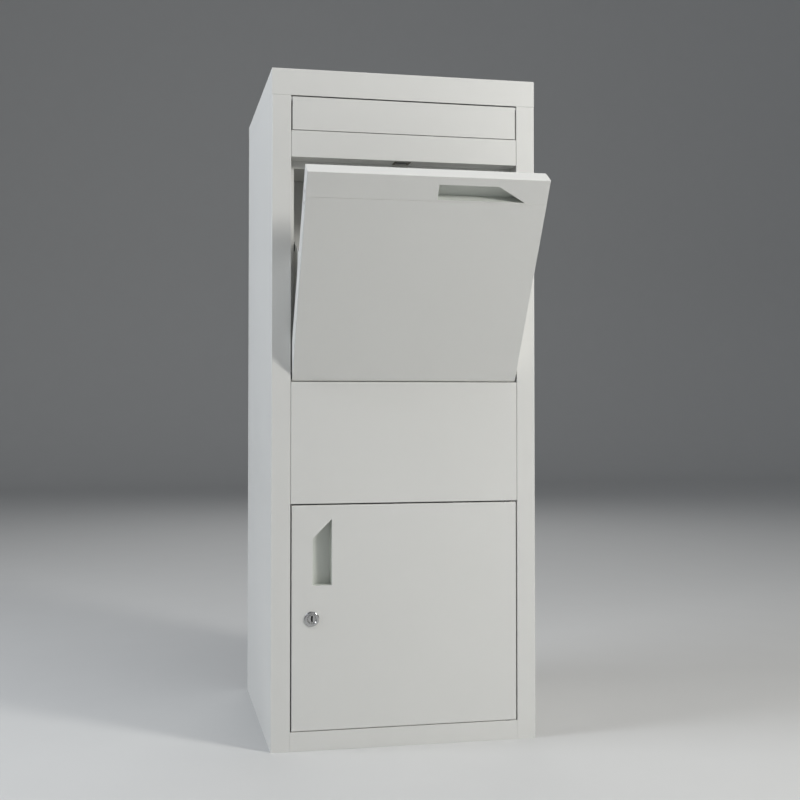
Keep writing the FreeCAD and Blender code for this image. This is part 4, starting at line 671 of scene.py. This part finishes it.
class MakeLock(bpy.types.Operator):
    """Turn the chrome lock barrel, its plug with the key slot, the nut and the cam bolt"""
    bl_idname = "drop_box.make_lock"
    bl_label = "Cam lock"

    def execute(self, context):
        sizes = context.scene.drop_box_lock
        low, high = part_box("lock_barrel")
        centre = (low + high) / 2
        axis = Vector((centre.x, 0.0, centre.z))
        bezel = (high.x - low.x) / 2
        barrel = bezel - BEZEL_LEDGE
        nut_low, nut_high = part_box("lock_nut")
        plug_low, plug_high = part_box("lock_plug")
        plug = (plug_high.x - plug_low.x) / 2
        seat = nut_low.y - DOOR_SHEET
        self.turn_barrel(sizes, axis, (low.y, seat, high.y), (bezel, barrel, plug))
        self.turn_plug(sizes, axis, plug_low.y, plug_high.y, plug)
        self.turn_nut(axis, nut_low.y, nut_high.y, barrel)
        bolt_low, bolt_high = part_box("cam_bolt")
        bolt = (bolt_high.x - bolt_low.x) / 2
        mesh = bmesh.new()
        loft(mesh, "Y", axis, socket_head(bolt_low.y, bolt_high.y, bolt, CAM_BOLT_SOCKET))
        finish_mesh(mesh, "cam_bolt_head", "lock", [FINISHES["zinc"]],
                    ["cam_bolt"])
        return {"FINISHED"}

    def turn_barrel(self, sizes, place, stations, radii):
        """The bezel with its dish, then the threaded barrel with its bore for the plug."""
        front, seat, back = stations
        bezel, barrel, plug = radii
        bore = plug + PLUG_CLEARANCE
        dish = front + sizes.dish_depth
        rim = sizes.rim_round
        inner_rim = bezel - rim - sizes.rim_width
        rings = [(back, circle(bore)), (dish, circle(bore)),
                 (dish, circle(inner_rim - DISH_SLOPE)), (front, circle(inner_rim)),
                 (front, circle(bezel - rim))]
        rings += quarter_round((front, bezel - rim), (front + rim, bezel))
        rings += [(front + rim, circle(bezel)), (seat, circle(bezel)), (seat, circle(barrel)),
                  (seat + THREAD_START, circle(barrel))]
        pitch = sizes.thread_pitch
        turns = int((back - seat - THREAD_PLAIN_ENDS) / pitch)
        for turn in range(turns):
            along = seat + THREAD_START + turn * pitch
            rings += [(along + pitch / 2, circle(barrel - sizes.thread_depth)),
                      (along + pitch, circle(barrel))]
        rings += [(back - BARREL_CHAMFER, circle(barrel)),
                  (back, circle(barrel - BARREL_CHAMFER)), (back, circle(bore))]
        mesh = bmesh.new()
        open_loft(mesh, "Y", place, rings)
        finish_mesh(mesh, "lock_barrel_turned", "door", [FINISHES["chrome"]],
                    ["lock_barrel"])

    def turn_plug(self, sizes, place, front, back, plug):
        """The plug with its key slot, a groove round its face and its square tail."""
        # Angle zero points up here, so the slot's height lies along the first direction.
        slot = rectangle(sizes.key_height, sizes.key_width)
        tail = rectangle(PLUG_TAIL_WIDTH, PLUG_TAIL_WIDTH)
        tail_start = back - PLUG_TAIL_LENGTH
        groove = front + PLUG_GROOVE_DEPTH
        rings = [(front + sizes.key_depth, slot), (front + KEY_SLOT_CHAMFER, slot),
                 (front, grown(slot, KEY_SLOT_CHAMFER)), (front, circle(plug - PLUG_FACE_EDGE)),
                 (groove, circle(plug - PLUG_GROOVE_INNER)),
                 (groove, circle(plug - PLUG_GROOVE_OUTER)),
                 (front + PLUG_SHOULDER_DEPTH, circle(plug)), (tail_start, circle(plug)),
                 (tail_start, tail), (back, tail)]
        mesh = bmesh.new()
        loft(mesh, "Y", place, rings)
        # The slot's walls take the second material, a dark painted shade, from just behind the
        # face to the slot's floor.
        painted_shade_start = front + SLOT_PAINTED_SHADE_START
        painted_shade_end = front + SLOT_PAINTED_SHADE_REACH * sizes.key_depth
        for face in mesh.faces:
            middle = face.calc_center_median() - place
            in_slot = max(abs(middle.x), abs(middle.z)) < sizes.key_height / 2
            if in_slot and painted_shade_start < middle.y < painted_shade_end:
                face.material_index = 1
        finish_mesh(mesh, "lock_plug_turned", "lock",
                    [FINISHES["chrome"], FINISHES["magnet"]], ["lock_plug"])

    def turn_nut(self, place, front, back, barrel):
        """The hexagon nut, with its corners chamfered at both faces."""
        chamfered = hexagon(NUT_FLATS, NUT_FLATS / 2 + NUT_CHAMFER_WIDTH)
        full = hexagon(NUT_FLATS, NUT_CORNER_RADIUS)
        rings = [(front, circle(barrel)), (front, chamfered),
                 (front + NUT_CHAMFER_DEPTH, full), (back - NUT_CHAMFER_DEPTH, full),
                 (back, chamfered), (back, circle(barrel))]
        mesh = bmesh.new()
        open_loft(mesh, "Y", place, rings)
        finish_mesh(mesh, "lock_nut_chamfered", "door",
                    [FINISHES["zinc"]], ["lock_nut"])


class MakeRivets(bpy.types.Operator):
    """Form the domed rivet heads of the drawer and of the back panel"""
    bl_idname = "drop_box.make_rivets"
    bl_label = "Rivets"

    def execute(self, context):
        mesh = bmesh.new()
        for low, high in solids_of("drawer_rivets"):
            tail, head, way = ends_along_x(low, high)
            centre = (low + high) / 2
            rings = rivet(tail, head, way, (high.y - low.y) / 2, DRAWER_RIVET_SHANK)
            loft(mesh, "X", Vector((0.0, centre.y, centre.z)), rings)
        finish_mesh(mesh, "drawer_rivet_heads", "drawer",
                    [FINISHES["rivet"]], ["drawer_rivets"])
        mesh = bmesh.new()
        for low, high in solids_of("back_panel_rivets"):
            centre = (low + high) / 2
            rings = rivet(low.y, high.y, 1, (high.x - low.x) / 2, BACK_RIVET_SHANK)
            loft(mesh, "Y", Vector((centre.x, 0.0, centre.z)), rings)
        finish_mesh(mesh, "back_rivet_heads", "cabinet",
                    [FINISHES["rivet"]], ["back_panel_rivets"])
        return {"FINISHED"}


class MakeScrews(bpy.types.Operator):
    """Make the roof cap's button screws and the catch's small pan screws"""
    bl_idname = "drop_box.make_screws"
    bl_label = "Screws"

    def execute(self, context):
        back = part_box("roof_cap")[1].y
        mesh = bmesh.new()
        for low, high in solids_of("cap_screws"):
            centre = (low + high) / 2
            rings = screw_shank(low.y, back, CAP_SCREW_TIP, CAP_SCREW_TAPER, CAP_SCREW_SHANK)
            rings += socket_head(back, high.y, (high.x - low.x) / 2, CAP_SCREW_SOCKET)
            loft(mesh, "Y", Vector((centre.x, 0.0, centre.z)), rings)
        finish_mesh(mesh, "cap_button_screws", "cabinet",
                    [FINISHES["zinc"]], ["cap_screws"])
        mesh = bmesh.new()
        for low, high in solids_of("catch_screws"):
            centre = (low + high) / 2
            seat = high.z - CATCH_SCREW_HEAD
            rings = screw_shank(low.z, seat, CATCH_SCREW_TIP, CATCH_SCREW_TAPER,
                                CATCH_SCREW_SHANK)
            rings += socket_head(seat, high.z, (high.x - low.x) / 2, CATCH_SCREW_SOCKET)
            loft(mesh, "Z", Vector((centre.x, centre.y, 0.0)), rings)
        finish_mesh(mesh, "catch_pan_screws", "cabinet",
                    [FINISHES["zinc"]], ["catch_screws"])
        return {"FINISHED"}


class MakePins(bpy.types.Operator):
    """Turn the headed pins that the drawer and the door swing on"""
    bl_idname = "drop_box.make_pins"
    bl_label = "Pivot pins"

    def execute(self, context):
        mesh = bmesh.new()
        for low, high in solids_of("drawer_pivot_pins"):
            tip, head, _ = ends_along_x(low, high)
            centre = (low + high) / 2
            rings = headed_pin(tip, head, DRAWER_PIN_HEAD, (high.z - low.z) / 2)
            loft(mesh, "X", Vector((0.0, centre.y, centre.z)), rings)
        finish_mesh(mesh, "drawer_pins_turned", "cabinet",
                    [FINISHES["zinc"]], ["drawer_pivot_pins"])
        mesh = bmesh.new()
        middle = JOINTS["door_swing"]["pos_m"][2]
        for low, high in solids_of("door_hinge_pins"):
            upper = low.z > middle
            tip = high.z if upper else low.z
            head = low.z if upper else high.z
            centre = (low + high) / 2
            rings = headed_pin(tip, head, DOOR_PIN_HEAD, (high.x - low.x) / 2)
            loft(mesh, "Z", Vector((centre.x, centre.y, 0.0)), rings)
        finish_mesh(mesh, "door_pins_turned", "door",
                    [FINISHES["zinc"]], ["door_hinge_pins"])
        return {"FINISHED"}


class MakeBuffers(bpy.types.Operator):
    """Mould the rubber buffers of the door and of the drawer"""
    bl_idname = "drop_box.make_buffers"
    bl_label = "Rubber buffers"

    def execute(self, context):
        for node, body in (("door_buffers", "cabinet"), ("drawer_stop_buffers", "drawer")):
            mesh = bmesh.new()
            for low, high in solids_of(node):
                size = high - low
                centre = (low + high) / 2
                # Across is Z and up is X when the loft runs along Y.
                full = rounded_rectangle(size.z, size.x, BUFFER_CORNER)
                waist = rounded_rectangle(size.z - BUFFER_WAIST_LESS,
                                          size.x - BUFFER_WAIST_LESS, BUFFER_CORNER)
                face = rounded_rectangle(size.z - BUFFER_FACE_LESS,
                                         size.x - BUFFER_FACE_LESS, BUFFER_FACE_CORNER)
                sections = {"waist": waist, "full": full}
                rings = [(low.y, face)]
                for share, section in BUFFER_SECTIONS:
                    rings.append((low.y + share * size.y, sections[section]))
                rings.append((high.y, full))
                loft(mesh, "Y", Vector((centre.x, 0.0, centre.z)), rings)
            finish_mesh(mesh, node + "_moulded", body, [FINISHES["rubber"]],
                        [node])
        return {"FINISHED"}


class MakeStudio(bpy.types.Operator):
    """Lay the floor and backdrop and place the lights and the camera"""
    bl_idname = "drop_box.make_studio"
    bl_label = "Studio"

    def execute(self, context):
        studio = context.scene.drop_box_studio
        self.lay_floor(studio)
        self.light_world(context.scene)
        for lamp in LAMPS:
            self.place_lamp(*lamp)
        self.place_camera(studio)
        return {"FINISHED"}

    def lay_floor(self, studio):
        """A sheet that lies flat and then sweeps up behind the box."""
        half = studio.floor_span / 2
        bend = half - SWEEP_RADIUS
        profile = [(-half, 0.0), (bend, 0.0)]
        for step in range(1, SWEEP_STEPS + 1):
            turn = math.pi / 2 * step / SWEEP_STEPS
            profile.append((bend + SWEEP_RADIUS * math.sin(turn),
                            SWEEP_RADIUS * (1 - math.cos(turn))))
        profile.append((half, half))
        mesh = bmesh.new()
        rows = []
        for y, z in profile:
            rows.append([mesh.verts.new((-half, y, z)), mesh.verts.new((half, y, z))])
        for first, second in zip(rows, rows[1:]):
            mesh.faces.new((first[0], first[1], second[1], second[0])).smooth = True
        data = bpy.data.meshes.new("studio_floor")
        mesh.to_mesh(data)
        mesh.free()
        floor = bpy.data.objects.new("studio_floor", data)
        bpy.context.scene.collection.objects.link(floor)
        data.materials.append(studio_floor("floor_paper", studio.floor))

    def light_world(self, scene):
        """A dim, slightly blue sky that softens the shadows."""
        world = bpy.data.worlds.new("studio_world")
        world.use_nodes = True
        background = world.node_tree.nodes["Background"]
        background.inputs["Color"].default_value = SKY_COLOUR
        background.inputs["Strength"].default_value = SKY_STRENGTH
        scene.world = world

    def place_lamp(self, name, place, size, power, colour):
        """A round soft lamp that faces the middle of the box."""
        data = bpy.data.lights.new(name, "AREA")
        data.shape = "DISK"
        data.size = size
        data.energy = power
        data.color = colour
        lamp = bpy.data.objects.new(name, data)
        lamp.location = place
        facing = Vector(LAMP_TARGET) - Vector(place)
        lamp.rotation_euler = facing.to_track_quat("-Z", "Y").to_euler()
        bpy.context.scene.collection.objects.link(lamp)

    def place_camera(self, studio):
        """A camera without roll, turned to the right and tilted up a little."""
        data = bpy.data.cameras.new("camera")
        data.sensor_width = SENSOR_WIDTH
        data.lens = studio.camera_lens
        data.shift_y = studio.camera_shift
        data.clip_end = VIEW_REACH
        camera = bpy.data.objects.new("camera", data)
        camera.location = studio.camera_place
        camera.rotation_euler = (math.pi / 2 + studio.camera_rise, 0.0, -studio.camera_turn)
        bpy.context.scene.collection.objects.link(camera)
        bpy.context.scene.camera = camera
        bpy.context.scene.view_settings.view_transform = "Standard"


OPERATORS = (MakeFinishes, MakeLock, MakeRivets, MakeScrews, MakePins, MakeBuffers, MakeStudio)
GROUPS = (("drop_box_finishes", DropBoxFinishes), ("drop_box_lock", DropBoxLock),
          ("drop_box_studio", DropBoxStudio))


class DropBoxPanel(bpy.types.Panel):
    """Buttons and settings for the parcel drop box"""
    bl_idname = "VIEW3D_PT_drop_box"
    bl_label = "Parcel Drop Box"
    bl_space_type = "VIEW_3D"
    bl_region_type = "UI"
    bl_category = "Drop Box"

    def draw(self, context):
        for operator in OPERATORS:
            self.layout.operator(operator.bl_idname)
        for name, group in GROUPS:
            column = self.layout.column()
            column.label(text=group.__doc__)
            for key in group.__annotations__:
                column.prop(getattr(context.scene, name), key)


def register():
    """Registers the settings, then the operators, then the panel."""
    for name, group in GROUPS:
        bpy.utils.register_class(group)
        setattr(bpy.types.Scene, name, bpy.props.PointerProperty(type=group))
    for operator in OPERATORS:
        bpy.utils.register_class(operator)
    bpy.utils.register_class(DropBoxPanel)


def unregister():
    """Undoes register in the opposite order."""
    bpy.utils.unregister_class(DropBoxPanel)
    for operator in reversed(OPERATORS):
        bpy.utils.unregister_class(operator)
    for name, group in reversed(GROUPS):
        delattr(bpy.types.Scene, name)
        bpy.utils.unregister_class(group)


def main():
    """Makes every piece and the studio."""
    register()
    for operator in OPERATORS:
        family, action = operator.bl_idname.split(".")
        getattr(getattr(bpy.ops, family), action)()


if __name__ == "__main__":
    main()
